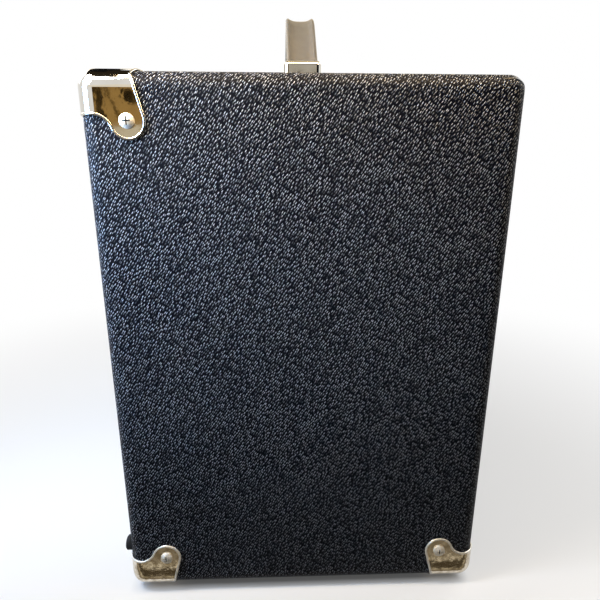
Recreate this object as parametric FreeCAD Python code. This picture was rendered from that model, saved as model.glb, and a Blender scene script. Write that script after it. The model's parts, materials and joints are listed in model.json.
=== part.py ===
"""Tube tester in a vinyl-covered wooden cabinet, one STEP file per piece, in millimetres.

Front faces -Y, +X is right seen from the front, +Z is up, and Z = 0 is the surface it stands on.
"""
import FreeCAD
import Part
import math
import os

Vec = FreeCAD.Vector

# Cabinet
CAB_W = 360.0
CAB_D = 250.0
CAB_H = 345.0
BOARD_T = 17.0
VINYL_T = 1.0
EDGE_R = 10.0
EDGE_EASE = 0.6
CLEAT = 14.0
RECESS = 28.0
PANEL_T = 2.5
PANEL_GAP = 0.5
BACK_T = 5.0
BACK_INSET = 6.0
PILOT_GAP = 0.05
HOLE_GAP = 0.25
RUN_GAP = 0.05

# Feet
FOOT_H = 5.0
FOOT_R = 11.0
FOOT_INSET = 52.0
REAR_FOOT_H = 4.5
REAR_FOOT_R = 5.2
REAR_FOOT_GAP = 0.5
REAR_FOOT_EDGE = 12.5
REAR_FOOT_INSET = 40.0
FOOT_EDGE = 1.2
FOOT_HEAD_ROOM = 0.8
REAR_HEAD_ROOM = 0.8

# Corner protectors: ear outline on the side and top or bottom faces
CORNER_T = 1.0
EAR_CUT = 23.2
EAR_FOOT = 29.5
LOBE_AT = 27.0
LOBE_R = 9.3
SCOOP_R = 11.0
CORNER_SCREW_R = 4.1
CORNER_SCREW_HEAD = 2.3
CORNER_SCREW_SHANK = 1.9
CORNER_SCREW_LEN = 15.0

# Strap handle
HANDLE_LEN = 256.0
CAP_L = 17.0
CAP_H = 16.4
CAP_WALL = 1.3
CAP_ROUND = 3.0
CAP_TOP_ROUND = 2.4
STRAP_W = 20.6
STRAP_T = 5.0
STRAP_RISE = 56.0
STRAP_SLOPE = 42.0
STRAP_POST = 9.0
STRAP_LOW_R = 10.0
STRAP_HIGH_R = 40.0
RIM_W = 3.4
RIM_H = 1.2
HANDLE_BOLT_R = 1.9
HANDLE_BOLT_HEAD_R = 4.5
HANDLE_BOLT_HEAD = 2.8
HANDLE_BOLT_GRIP = 7.0
STRAP_SET = 9.0
BLOCK_HALF = 5.0
BLOCK_INSET = 1.0
BLOCK_H = 8.5
CAP_GAP = 0.4
CAP_W = STRAP_W + 2 * (CAP_WALL + CAP_GAP)

# Front panel screws
PANEL_HEAD_R = 3.6
PANEL_HEAD = 2.0
PANEL_SHANK = 1.6
PANEL_SCREW_LEN = 14.0

# Wood screws of back panel and feet
WOOD_HEAD_R = 3.3
WOOD_HEAD = 1.9
WOOD_SHANK = 1.5
WOOD_LEN = 14.0
BORE_GAP = 0.3

# Shares of a screw head: straight rim of its height, recess arm and slot of its radius, recess floor
HEAD_RIM = 0.4
CROSS_ARM = 0.55
CROSS_SLOT = 0.11
CROSS_FLOOR = 0.55

# Meter, in the panel frame
METER_AT = (-86.0, 92.0)
BEZEL_W = 116.0
BEZEL_H = 94.0
BEZEL_T = 12.0
BEZEL_ROUND = 9.0
BEZEL_EDGE = 2.5
GLASS_W = 104.0
GLASS_H = 62.0
GLASS_T = 2.0
GLASS_LIP = 3.0
GLASS_RISE = 10.0
DIAL_T = 1.0
CASE_R = 36.0
CASE_DEPTH = 34.0
CASE_WALL = 2.5
NEEDLE_LEN = 46.0
NEEDLE_TAIL = 5.5
NEEDLE_W = 1.4
NEEDLE_T = 0.6
NEEDLE_OUT = 3.0
NEEDLE_HUB_R = 3.2
NEEDLE_PIVOT_R = 1.0
NEEDLE_PIVOT_IN = 16.0
NEEDLE_REST = 42.0
MOVEMENT_W = 24.0
MOVEMENT_H = 34.0
PIVOT_RISE = 7.0

# Roll chart, in the panel frame
CHART_AT = (50.0, 92.0)
CHART_W = 132.0
CHART_H = 84.0
CHART_T = 4.0
CHART_EDGE = 1.5
CHART_ROUND = 5.0
WINDOW_W = 104.0
WINDOW_H = 52.0
WINDOW_T = 2.0
WINDOW_LIP = 3.0
ROLLER_R = 8.0
ROLLER_PITCH = 62.0
ROLLER_BACK = 10.5
ROLLER_L = 116.0
ROLLER_SHAFT_R = 2.0
PAPER_T = 0.4
PAPER_GAP = 0.3
PLATE_T = 2.0
PLATE_DEPTH = 20.0
PLATE_FLANGE = 8.0
END_PLAY = 0.4
WHEEL_R = 18.5
WHEEL_W = 6.0
WHEEL_GAP = 8.0
WHEEL_TEETH = 36
WHEEL_GROOVE_R = 0.7
SHAFT_STUB = 2.0
SLOT_GAP = 0.8

# Tube sockets: name, pins, pin circle radius, pin hole radius, spigot hole radius, body radius
SOCKETS = (
    ("socket_four_pin", 4, 8.3, 1.9, 0.0, 15.0),
    ("socket_six_pin", 6, 9.5, 1.7, 0.0, 15.0),
    ("socket_octal", 8, 8.73, 1.3, 4.2, 15.0),
    ("socket_seven_pin", 7, 4.75, 0.7, 1.6, 9.5),
    ("socket_nine_pin", 9, 5.95, 0.7, 1.6, 11.0),
)
SOCKET_X = (-122.0, -72.0, -22.0, 24.0, 65.0)
SOCKET_Z = 4.0
SOCKET_FLANGE_T = 2.0
SOCKET_RIM = 2.5
SOCKET_DEPTH = 14.0
SOCKET_PIN_DEPTH = 12.0
EAR_R = 4.0
SOCKET_KEY = 2.0
SMALL_HEAD_R = 2.5
SMALL_HEAD = 1.5
SMALL_SHANK = 1.3
SMALL_LEN = 8.0

# Knobs on shafts
KNOB_X = (-100.0, 0.0, 100.0)
KNOB_NAMES = ("filament", "bias", "shunt")
KNOB_Z = -112.0
SKIRT_R = 22.0
SKIRT_T = 3.0
KNOB_R = 14.0
KNOB_TOP_R = 12.0
KNOB_H = 18.0
KNOB_FLUTES = 12
FLUTE_R = 2.2
KNOB_STANDOFF = 3.2
POINTER_W = 2.0
POINTER_T = 0.8
SHAFT_R = 3.0
SHAFT_IN_KNOB = 12.0
POT_R = 14.0
POT_DEPTH = 13.0
CAN_WALL = 1.5

# Threaded bushings shared by knobs, buttons and toggle
BUSH_R = 4.75
BUSH_OUT = 3.0
NUT_FLATS = 13.0
NUT_T = 2.4

# Test levers
LEVER_X = (-105.0, -35.0, 35.0, 105.0)
LEVER_Z = -56.0
LEVER_T = 4.0
LEVER_ARM = 6.0
LEVER_HUB_R = 5.0
LEVER_PIVOT_BACK = 12.0
LEVER_TAIL = 8.0
LEVER_SWING = 18.0
PADDLE_CLEAR = 3.0
PADDLE_L = 14.0
PADDLE_W = 9.0
PADDLE_H = 8.0
PADDLE_ROUND = 2.0
ROD_R = 2.0
BANK_END = 16.0
BANK_HALF_H = 10.0
BANK_DEPTH = 34.0
BANK_T = 2.0
CONTACT_W = 10.0
CONTACT_GAP = 0.8

# Push buttons
BUTTON_X = (104.0, 136.0)
BUTTON_Z = -12.0
BUTTON_R = 6.5
BUTTON_H = 7.0
BUTTON_EDGE = 1.2
BUTTON_TRAVEL = 4.0
BUTTON_STOP_GAP = 0.4
STEM_R = 2.5
STEM_IN = 12.0
SWITCH_R = 8.5
SWITCH_DEPTH = 24.0

# Power toggle and pilot lamp
TOGGLE_AT = (136.0, 26.0)
TOGGLE_W = 15.0
TOGGLE_H = 26.0
TOGGLE_DEPTH = 20.0
TOGGLE_BALL_R = 3.0
TOGGLE_ROOT_R = 1.6
TOGGLE_TIP_R = 2.8
TOGGLE_LEN = 18.0
TOGGLE_TILT = 13.0
TOGGLE_TAIL = 8.0
TOGGLE_TAIL_R = 1.1
BALL_GAP = 0.3
PILOT_AT = (104.0, 26.0)
PILOT_R = 8.0
PILOT_STEM_R = 6.0
PILOT_DOME = 5.0
PILOT_FLANGE = 2.0
PILOT_DEPTH = 20.0

# Back panel fittings and transformer
VENT_COUNT = 9
VENT_W = 3.4
VENT_H = 60.0
VENT_PITCH = 16.0
VENT_RISE = 62.0
VENT_END_R = 1.5
INLET_AT = (-96.0, -100.0)
INLET_W = 40.0
INLET_H = 26.0
INLET_FLANGE_T = 3.0
INLET_DEPTH = 20.0
INLET_WALL = 2.5
INLET_PIN_R = 1.8
INLET_PIN_L = 9.0
INLET_PIN_PITCH = 11.0
CORE_W = 84.0
CORE_H = 70.0
CORE_T = 34.0
CORE_LEG = 14.0
CORE_AT = (-60.0, 30.0)
COIL_BULGE = 12.0
COIL_GAP = 0.4
COIL_ROUND = 7.0

# Places worked out from the sizes above
WALL = BOARD_T + VINYL_T
X_SIDE = CAB_W / 2
Y_FRONT = -(CAB_D + REAR_FOOT_H - CORNER_T) / 2
Y_REAR = Y_FRONT + CAB_D
Z_LOW = FOOT_H
Z_TOP = FOOT_H + CAB_H
CAVITY_X = X_SIDE - WALL
CAVITY_LOW = Z_LOW + WALL
CAVITY_TOP = Z_TOP - WALL
THROAT_X = CAVITY_X - VINYL_T
THROAT_H = CAB_H - 2 * (WALL + VINYL_T)
PANEL_W = 2 * (THROAT_X - PANEL_GAP)
PANEL_H = THROAT_H - 2 * PANEL_GAP
PANEL_Y = Y_FRONT + RECESS
PANEL_Z = Z_LOW + CAB_H / 2
BACK_Y = Y_REAR - BACK_INSET
HANDLE_Y = (Y_FRONT + Y_REAR) / 2
POST_X = HANDLE_LEN / 2 - STRAP_SET
PANEL_BACK = -PANEL_T
AXES = (Vec(1, 0, 0), Vec(0, 1, 0), Vec(0, 0, 1))
EAR_TO_SIDE = FreeCAD.Rotation(AXES[1] * -1, AXES[2] * -1, AXES[0], "ZXY")
EAR_TO_TOP = FreeCAD.Rotation(AXES[1] * -1, AXES[0] * -1, AXES[2] * -1, "ZXY")


def export(name, shape):
    """Write one node; a list becomes a group of separate solids."""
    if isinstance(shape, list):
        shape = Part.makeCompound(shape)
    shape.exportStep(os.path.join("parts", name + ".step"))


def on_panel(shape):
    """Carry a shape from the panel frame (right, up, out of the face) to the row frame."""
    moved = shape.copy()
    moved.rotate(Vec(0, 0, 0), AXES[0], 90)
    moved.translate(Vec(0, PANEL_Y, PANEL_Z))
    return moved


def panel_node(name, shapes):
    """Export a node that was built in the panel frame."""
    if isinstance(shapes, list):
        export(name, [on_panel(one) for one in shapes])
    else:
        export(name, on_panel(shapes))


def box(x0, x1, y0, y1, z0, z1):
    """Box between two corners."""
    return Part.makeBox(x1 - x0, y1 - y0, z1 - z0, Vec(x0, y0, z0))


def slab(at, width, height, low, high):
    """Box centred on a panel point, from low to high along the panel's outward axis."""
    x, y = at
    return box(x - width / 2, x + width / 2, y - height / 2, y + height / 2, low, high)


def post(at, radius, low, high):
    """Cylinder square to the panel at a panel point, from low to high."""
    return Part.makeCylinder(radius, high - low, Vec(at[0], at[1], low))


def edges_along(shape, axis):
    """Straight edges parallel to an axis."""
    straight = [e for e in shape.Edges if e.Curve.TypeId == "Part::GeomLine"]
    return [e for e in straight if abs(e.tangentAt(e.FirstParameter).dot(axis)) > 0.999]


def edges_at(shape, axis, level):
    """Edges that lie wholly in the plane square to an axis at a level."""
    def flat(edge):
        return all(abs(v.Point.dot(axis) - level) < 1e-4 for v in edge.Vertexes)
    return [e for e in shape.Edges if flat(e)]


def rounded_slab(at, width, height, low, high, corner, edge=0.0):
    """Slab with rounded corners and, where asked, a rounded outer rim."""
    solid = slab(at, width, height, low, high)
    solid = solid.makeFillet(corner, edges_along(solid, AXES[2]))
    if edge:
        solid = solid.makeFillet(edge, edges_at(solid, AXES[2], high))
    return solid


def turned(profile):
    """Solid of revolution about Z from (radius, height) points."""
    points = [Vec(r, 0, z) for r, z in profile]
    face = Part.Face(Part.makePolygon(points + points[:1]))
    return face.revolve(Vec(0, 0, 0), AXES[2], 360)


def dome(radius, height):
    """Spherical cap standing on Z = 0."""
    ball_r = (radius ** 2 + height ** 2) / (2 * height)
    ball = Part.makeSphere(ball_r, Vec(0, 0, height - ball_r))
    return ball.common(Part.makeCylinder(radius, height))


def screw(head_r, head_h, shank_r, length):
    """Cross-recess pan-head screw: head above Z = 0, shank below."""
    rim = head_h * HEAD_RIM
    head = Part.makeCylinder(head_r, rim)
    cap = dome(head_r, head_h - rim)
    cap.translate(Vec(0, 0, rim))
    solid = head.fuse([cap, Part.makeCylinder(shank_r, length, Vec(0, 0, -length))])
    arm = head_r * CROSS_ARM
    slot = head_r * CROSS_SLOT
    floor = head_h * CROSS_FLOOR
    for long_x in (True, False):
        x = arm if long_x else slot
        y = slot if long_x else arm
        solid = solid.cut(box(-x, x, -y, y, floor, head_h))
    return solid.removeSplitter()


def placed(shape, point, outward):
    """Copy of a Z-built shape with its base at a point and its Z turned outward."""
    moved = shape.copy()
    moved.Placement = FreeCAD.Placement(point, FreeCAD.Rotation(AXES[2], outward))
    return moved


def bores(places, radius, depth):
    """Cylinders that run inward from screw seats, to cut clearance or pilot holes."""
    return [Part.makeCylinder(radius, depth, point, outward * -1) for point, outward in places]


def cab_box(grow, radius):
    """The cabinet's outside grown on every face, with all edges rounded."""
    solid = box(-X_SIDE - grow, X_SIDE + grow, Y_FRONT - grow, Y_REAR + grow, Z_LOW - grow, Z_TOP + grow)
    return solid.makeFillet(radius, solid.Edges)


def arc(start, middle, end):
    """Edge of a circle through three points."""
    return Part.Arc(start, middle, end).toShape()


# Cabinet boards, covering, cleats and back
def rim_points():
    """Eight screw points round a panel: corners and side middles, centred on the cleats."""
    x = CAVITY_X - CLEAT / 2
    z = CAB_H / 2 - WALL - CLEAT / 2
    return [(i * x, j * z) for i in (-1, 0, 1) for j in (-1, 0, 1) if i or j]


def corner_signs():
    """Side, depth and height signs of the protected corners: all but the upper front pair."""
    return [(s, d, h) for s in (-1, 1) for d, h in ((1, 1), (1, -1), (-1, -1))]


def corner_seats():
    """Where the corner screws' heads sit, with their outward directions."""
    seats = []
    for s, d, h in corner_signs():
        y = (Y_REAR if d > 0 else Y_FRONT) - d * LOBE_AT
        z = Z_TOP if h > 0 else Z_LOW
        seats.append((Vec(s * (X_SIDE + CORNER_T), y, z - h * LOBE_AT), AXES[0] * s))
        seats.append((Vec(s * (X_SIDE - LOBE_AT), y, z + h * CORNER_T), AXES[2] * h))
    return seats


def foot_points():
    """Centres of the bottom feet on the cabinet's underside."""
    x = X_SIDE - FOOT_INSET
    return [Vec(s * x, y, Z_LOW) for s in (-1, 1) for y in (Y_FRONT + FOOT_INSET, Y_REAR - FOOT_INSET)]


def rear_foot_points():
    """Centres of the rear feet on the board edges, below and above."""
    low = Z_LOW + EAR_CUT + REAR_FOOT_GAP + REAR_FOOT_R
    ends = ((X_SIDE - REAR_FOOT_EDGE, low), (X_SIDE - REAR_FOOT_INSET, Z_TOP - REAR_FOOT_EDGE))
    return [Vec(s * x, Y_REAR, z) for s in (-1, 1) for x, z in ends]


def rubber_foot(radius, height, head_room):
    """Turned foot standing on Z = 0, with a counterbored screw hole from its free end."""
    seat = height - WOOD_HEAD - head_room
    bore = WOOD_HEAD_R + BORE_GAP
    rim = min(FOOT_EDGE, (radius - bore) / 2)
    hole = WOOD_SHANK + HOLE_GAP
    outline = ((hole, 0), (radius, 0), (radius, height - rim), (radius - rim, height))
    return turned(outline + ((bore, height), (bore, seat), (hole, seat)))


def foot_seats():
    """Screw seats of all eight feet."""
    low = FOOT_H - WOOD_HEAD - FOOT_HEAD_ROOM
    rear = REAR_FOOT_H - WOOD_HEAD - REAR_HEAD_ROOM
    down = [(p - AXES[2] * low, AXES[2] * -1) for p in foot_points()]
    return down + [(p + AXES[1] * rear, AXES[1]) for p in rear_foot_points()]


def handle_bolt_seats():
    """Handle bolt heads, on the underside of the top board."""
    return [(Vec(s * POST_X, HANDLE_Y, CAVITY_TOP), AXES[2] * -1) for s in (-1, 1)]


def board_cuts():
    """Pilot and clearance holes that run into the boards and the covering."""
    cuts = bores(corner_seats(), CORNER_SCREW_SHANK + PILOT_GAP, CORNER_SCREW_LEN + PILOT_GAP)
    cuts += bores(foot_seats(), WOOD_SHANK + PILOT_GAP, WOOD_LEN + PILOT_GAP)
    return cuts + bores(handle_bolt_seats(), HANDLE_BOLT_R + HOLE_GAP, WALL + CORNER_T)


def cabinet():
    """Four boards: top and bottom run full width, the sides stand between them."""
    wood = cab_box(-VINYL_T, EDGE_R - VINYL_T + EDGE_EASE).cut(board_cuts())
    x, y0, y1 = X_SIDE, Y_FRONT, Y_REAR
    export("cabinet_top", wood.common(box(-x, x, y0, y1, CAVITY_TOP, Z_TOP)))
    export("cabinet_bottom", wood.common(box(-x, x, y0, y1, Z_LOW, CAVITY_LOW)))
    export("cabinet_left_side", wood.common(box(-x, -CAVITY_X, y0, y1, CAVITY_LOW, CAVITY_TOP)))
    export("cabinet_right_side", wood.common(box(CAVITY_X, x, y0, y1, CAVITY_LOW, CAVITY_TOP)))


def covering():
    """Glued vinyl skin over the boards, turned in round both openings."""
    def throat(grow, y0, y1):
        x = THROAT_X + grow
        half = THROAT_H / 2 + grow
        return box(-x, x, y0, y1, PANEL_Z - half, PANEL_Z + half)
    skin = cab_box(0, EDGE_R).cut(cab_box(-VINYL_T, EDGE_R - VINYL_T))
    front = throat(VINYL_T, Y_FRONT + VINYL_T, PANEL_Y + PANEL_T)
    rear = throat(VINYL_T, BACK_Y - BACK_T, Y_REAR - VINYL_T)
    skin = skin.fuse([front, rear]).cut([throat(0, Y_FRONT, Y_REAR)] + board_cuts())
    export("vinyl_covering", skin.removeSplitter())


def cleats():
    """Battens behind the front panel and before the back panel, bored for their screws."""
    x, low, high = CAVITY_X, CAVITY_LOW, CAVITY_TOP
    bars = []
    for y in (PANEL_Y + PANEL_T, BACK_Y - BACK_T - CLEAT):
        end = y + CLEAT
        bars.append(box(-x, x, y, end, low, low + CLEAT))
        bars.append(box(-x, x, y, end, high - CLEAT, high))
        bars.append(box(-x, CLEAT - x, y, end, low + CLEAT, high - CLEAT))
        bars.append(box(x - CLEAT, x, y, end, low + CLEAT, high - CLEAT))
    cuts = bores(panel_seats(), PANEL_SHANK + PILOT_GAP, PANEL_SCREW_LEN + PILOT_GAP)
    cuts += bores(back_seats(), WOOD_SHANK + PILOT_GAP, WOOD_LEN + PILOT_GAP)
    export("cleats", [bar.cut(cuts) for bar in bars])


def panel_seats():
    """Front panel screw seats."""
    return [(Vec(x, PANEL_Y, PANEL_Z + z), AXES[1] * -1) for x, z in rim_points()]


def back_seats():
    """Back panel screw seats."""
    return [(Vec(x, BACK_Y, PANEL_Z + z), AXES[1]) for x, z in rim_points()]


def inlet_screw_seats():
    """Seats of the two screws that hold the mains inlet's flange."""
    x, z = INLET_AT
    reach = INLET_W / 2 - EAR_R
    y = BACK_Y + INLET_FLANGE_T
    return [(Vec(x + s * reach, y, PANEL_Z + z), AXES[1]) for s in (-1, 1)]


def inlet_body(grow):
    """The part of the inlet that passes through the back panel."""
    x, z = INLET_AT
    half_w = INLET_W / 2 - 2 * EAR_R + grow
    half_h = INLET_H / 2 - INLET_FLANGE_T + grow
    y0 = BACK_Y + INLET_FLANGE_T - INLET_DEPTH
    return box(x - half_w, x + half_w, y0, BACK_Y, PANEL_Z + z - half_h, PANEL_Z + z + half_h)


def back():
    """Back panel with upright vent slots, and the recessed mains inlet."""
    w, h = PANEL_W / 2, PANEL_H / 2
    panel = box(-w, w, BACK_Y - BACK_T, BACK_Y, PANEL_Z - h, PANEL_Z + h)
    cuts = bores(back_seats(), WOOD_SHANK + HOLE_GAP, BACK_T)
    cuts += bores(inlet_screw_seats(), SMALL_SHANK + HOLE_GAP, INLET_FLANGE_T + BACK_T)
    cuts.append(inlet_body(HOLE_GAP))
    for i in range(VENT_COUNT):
        x = (i - (VENT_COUNT - 1) / 2) * VENT_PITCH
        z = PANEL_Z + VENT_RISE
        slot = box(x - VENT_W / 2, x + VENT_W / 2, BACK_Y - BACK_T, BACK_Y, z - VENT_H / 2, z + VENT_H / 2)
        cuts.append(slot.makeFillet(VENT_END_R, edges_along(slot, AXES[1])))
    export("back_panel", panel.cut(cuts))

    x, z = INLET_AT
    mid = PANEL_Z + z
    flange = box(x - INLET_W / 2, x + INLET_W / 2, BACK_Y, BACK_Y + INLET_FLANGE_T, mid - INLET_H / 2,
                 mid + INLET_H / 2)
    flange = flange.makeFillet(EAR_R, edges_along(flange, AXES[1]))
    floor = BACK_Y + INLET_FLANGE_T - INLET_DEPTH + INLET_WALL
    room = inlet_body(-INLET_WALL).common(box(-X_SIDE, X_SIDE, floor, BACK_Y, 0, Z_TOP))
    mouth = room.copy()
    mouth.translate(AXES[1] * INLET_FLANGE_T)
    holes = bores(inlet_screw_seats(), SMALL_SHANK + HOLE_GAP, INLET_FLANGE_T)
    inlet = flange.fuse(inlet_body(0)).cut([room, mouth] + holes)
    spread = ((-INLET_PIN_PITCH / 2, -1), (INLET_PIN_PITCH / 2, -1), (0, 1))
    pins = [Part.makeCylinder(INLET_PIN_R, INLET_PIN_L, Vec(x + dx, floor, mid + dz * INLET_PIN_R), AXES[1])
            for dx, dz in spread]
    export("mains_inlet", inlet.fuse(pins).removeSplitter())


# Corner protectors, feet and handle
def ear_outline():
    """Ear face in (distance from the end edge, distance from the long edge)."""
    scoop_v = EAR_CUT + SCOOP_R
    scoop_u = LOBE_AT - math.sqrt((LOBE_R + SCOOP_R) ** 2 - (scoop_v - LOBE_AT) ** 2)
    lobe = Vec(LOBE_AT, LOBE_AT, 0)
    scoop = Vec(scoop_u, scoop_v, 0)
    foot = Vec(EAR_FOOT, 0, 0)

    def around(centre, radius, angle):
        return centre + Vec(math.cos(angle), math.sin(angle), 0) * radius

    def bearing(start, end):
        return math.atan2(end.y - start.y, end.x - start.x)
    leave = bearing(lobe, foot) + math.acos(LOBE_R / lobe.distanceToPoint(foot))
    join = bearing(lobe, scoop)
    meet = bearing(scoop, lobe)
    tangent = around(lobe, LOBE_R, leave)
    seam = around(lobe, LOBE_R, join)
    cut = Vec(scoop_u, EAR_CUT, 0)
    reach = -2 * CORNER_T
    past = foot + (foot - tangent) * (2 * CORNER_T / foot.distanceToPoint(tangent))
    corner = Vec(reach, past.y, 0)
    edge = Vec(reach, EAR_CUT, 0)
    edges = [
        Part.makeLine(corner, past),
        Part.makeLine(past, tangent),
        arc(tangent, around(lobe, LOBE_R, (leave + join) / 2), seam),
        arc(seam, around(scoop, SCOOP_R, (meet - math.pi / 2) / 2), cut),
        Part.makeLine(cut, edge),
        Part.makeLine(edge, corner),
    ]
    return Part.Face(Part.Wire(edges))


def corners():
    """Stamped protectors: one upper rear corner, mirrored to the other five places."""
    wrap = EDGE_R + CORNER_T
    ear = ear_outline().extrude(Vec(0, 0, wrap + CORNER_T))
    side = ear.copy()
    side.Placement = FreeCAD.Placement(Vec(X_SIDE - EDGE_R, Y_REAR, Z_TOP), EAR_TO_SIDE)
    top = ear.copy()
    top.Placement = FreeCAD.Placement(Vec(X_SIDE, Y_REAR, Z_TOP + 2 * CORNER_T), EAR_TO_TOP)
    rear = box(X_SIDE - EAR_CUT, X_SIDE + wrap, Y_REAR - EDGE_R, Y_REAR + wrap, Z_TOP - EAR_CUT, Z_TOP + wrap)
    rear = rear.makeFillet(EAR_CUT / 2, edges_along(rear, AXES[1]))
    shell = cab_box(CORNER_T, wrap).common(side.fuse([top, rear]))
    shell = shell.cut(cab_box(0, EDGE_R - EDGE_EASE)).removeSplitter()
    middle = Vec(0, (Y_FRONT + Y_REAR) / 2, PANEL_Z)
    groups = {1: [], -1: []}
    holes = bores(corner_seats(), CORNER_SCREW_SHANK + HOLE_GAP, CORNER_T)
    for s, d, h in corner_signs():
        one = shell.copy()
        for sign, axis in zip((s, d, h), AXES):
            if sign < 0:
                one = one.mirror(middle, axis)
        groups[h].append(one.cut(holes))
    export("corners_top", groups[1])
    export("corners_bottom", groups[-1])


def feet():
    """Rubber feet under the cabinet and on its rear edges."""
    foot = rubber_foot(FOOT_R, FOOT_H, FOOT_HEAD_ROOM)
    export("bottom_feet", [placed(foot, p, AXES[2] * -1) for p in foot_points()])
    rear = rubber_foot(REAR_FOOT_R, REAR_FOOT_H, REAR_HEAD_ROOM)
    export("rear_feet", [placed(rear, p, AXES[1]) for p in rear_foot_points()])


def strap_side(offset, side):
    """One half of the strap's line at an offset from its middle, from the post up to the crown.

    Post, bend, straight slope, bend, then level: both bends turn about the same side.
    """
    turn = math.radians(90 - STRAP_SLOPE)
    low = Vec(POST_X - STRAP_LOW_R, HANDLE_Y, Z_TOP + STRAP_POST)
    climb = STRAP_RISE - STRAP_POST - STRAP_HIGH_R + (STRAP_HIGH_R - STRAP_LOW_R) * math.sin(turn)
    run = climb / math.tan(math.radians(STRAP_SLOPE))
    crown_x = low.x - run - (STRAP_HIGH_R - STRAP_LOW_R) * math.cos(turn)
    high = Vec(crown_x, HANDLE_Y, Z_TOP + STRAP_RISE - STRAP_HIGH_R)

    def at(centre, radius, angle):
        x = centre.x + (radius + offset) * math.cos(angle)
        z = centre.z + (radius + offset) * math.sin(angle)
        return Vec(side * x, HANDLE_Y, z)
    foot = Vec(side * (POST_X + offset), HANDLE_Y, Z_TOP)
    points = [foot, at(low, STRAP_LOW_R, 0), at(low, STRAP_LOW_R, turn)]
    points += [at(high, STRAP_HIGH_R, turn), at(high, STRAP_HIGH_R, math.pi / 2)]
    edges = [
        Part.makeLine(points[0], points[1]),
        arc(points[1], at(low, STRAP_LOW_R, turn / 2), points[2]),
        Part.makeLine(points[2], points[3]),
        arc(points[3], at(high, STRAP_HIGH_R, (turn + math.pi / 2) / 2), points[4]),
    ]
    return edges, points


def strap_ribbon(under, over, width, middle):
    """Part of the strap between two offsets, with a width across and a middle in Y."""
    edges = []
    ends = []
    for offset in (under, over):
        right, right_points = strap_side(offset, 1)
        left, left_points = strap_side(offset, -1)
        edges += right + left + [Part.makeLine(right_points[-1], left_points[-1])]
        ends.append((right_points[0], left_points[0]))
    edges += [Part.makeLine(ends[0][i], ends[1][i]) for i in (0, 1)]
    face = Part.Face(Part.Wire(Part.__sortEdges__(edges)))
    face.translate(Vec(0, middle - width / 2, 0))
    return face.extrude(Vec(0, width, 0))


def handle():
    """Moulded strap with raised rims, its foot blocks, and the metal caps over its ends."""
    half = STRAP_T / 2
    edge = (STRAP_W - RIM_W) / 2
    strap = strap_ribbon(-half, half, STRAP_W, 0)
    rims = [strap_ribbon(-half, half + RIM_H, RIM_W, s * edge) for s in (-1, 1)]
    blocks = []
    for s in (-1, 1):
        x = s * POST_X
        w = STRAP_W / 2 - BLOCK_INSET
        blocks.append(box(x - BLOCK_HALF, x + BLOCK_HALF, HANDLE_Y - w, HANDLE_Y + w, Z_TOP, Z_TOP + BLOCK_H))
    strap = strap.fuse(rims + blocks)
    grip = bores(handle_bolt_seats(), HANDLE_BOLT_R + PILOT_GAP, WALL + HANDLE_BOLT_GRIP + PILOT_GAP)
    export("handle_strap", strap.cut(grip).removeSplitter())

    inner = CAP_H - CAP_WALL
    bulge = math.sqrt((STRAP_LOW_R + half + RIM_H) ** 2 - (inner - STRAP_POST) ** 2) - STRAP_LOW_R
    slot = POST_X + bulge + CAP_GAP
    end = HANDLE_LEN / 2
    wide = CAP_W / 2
    cap = box(end - CAP_L, end, HANDLE_Y - wide, HANDLE_Y + wide, Z_TOP, Z_TOP + CAP_H)
    upright = [e for e in edges_along(cap, AXES[2]) if e.Vertexes[0].Point.x > end - CAP_L / 2]
    cap = cap.makeFillet(CAP_ROUND, upright)
    rim = [e for e in edges_at(cap, AXES[2], Z_TOP + CAP_H) if e.CenterOfMass.x > end - CAP_L + PILOT_GAP]
    cap = cap.makeFillet(CAP_TOP_ROUND, rim)
    room_y = wide - CAP_WALL
    low_x = end - 2 * CAP_L
    room = box(low_x, end - CAP_WALL, HANDLE_Y - room_y, HANDLE_Y + room_y, Z_TOP, Z_TOP + inner)
    mouth = box(low_x, slot, HANDLE_Y - room_y, HANDLE_Y + room_y, Z_TOP, Z_TOP + 2 * CAP_H)
    cap = cap.cut([room, mouth])
    export("handle_caps", [cap, cap.mirror(Vec(0, 0, 0), AXES[0])])


def screws():
    """Every screw and bolt of the cabinet, one node per kind."""
    def node(name, one, seats):
        export(name, [placed(one, point, outward) for point, outward in seats])
    corner = screw(CORNER_SCREW_R, CORNER_SCREW_HEAD, CORNER_SCREW_SHANK, CORNER_SCREW_LEN)
    node("corner_screws", corner, corner_seats())
    wood = screw(WOOD_HEAD_R, WOOD_HEAD, WOOD_SHANK, WOOD_LEN)
    node("wood_screws", wood, back_seats() + foot_seats())
    bolt = screw(HANDLE_BOLT_HEAD_R, HANDLE_BOLT_HEAD, HANDLE_BOLT_R, WALL + HANDLE_BOLT_GRIP)
    node("handle_bolts", bolt, handle_bolt_seats())
    node("panel_screws", screw(PANEL_HEAD_R, PANEL_HEAD, PANEL_SHANK, PANEL_SCREW_LEN), panel_seats())
    small = screw(SMALL_HEAD_R, SMALL_HEAD, SMALL_SHANK, SMALL_LEN)
    node("small_screws", small, inlet_screw_seats() + socket_screw_seats())


# Instrument panel, built in the panel frame: X right, Y up, Z out of the panel's face
def socket_places():
    """Each socket's row of sizes with its panel point."""
    return [(spec, (x, SOCKET_Z)) for spec, x in zip(SOCKETS, SOCKET_X)]


def ear_reach(body_r):
    """Distance from a socket's middle to its screws."""
    return body_r + SOCKET_RIM + SMALL_SHANK


def socket_screw_points():
    """Panel points of the socket screws."""
    return [(x + s * ear_reach(spec[-1]), z) for spec, (x, z) in socket_places() for s in (-1, 1)]


def socket_screw_seats():
    """Seats of the socket screws in the row frame."""
    y = PANEL_Y - SOCKET_FLANGE_T
    return [(Vec(x, y, PANEL_Z + z), AXES[1] * -1) for x, z in socket_screw_points()]


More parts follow.
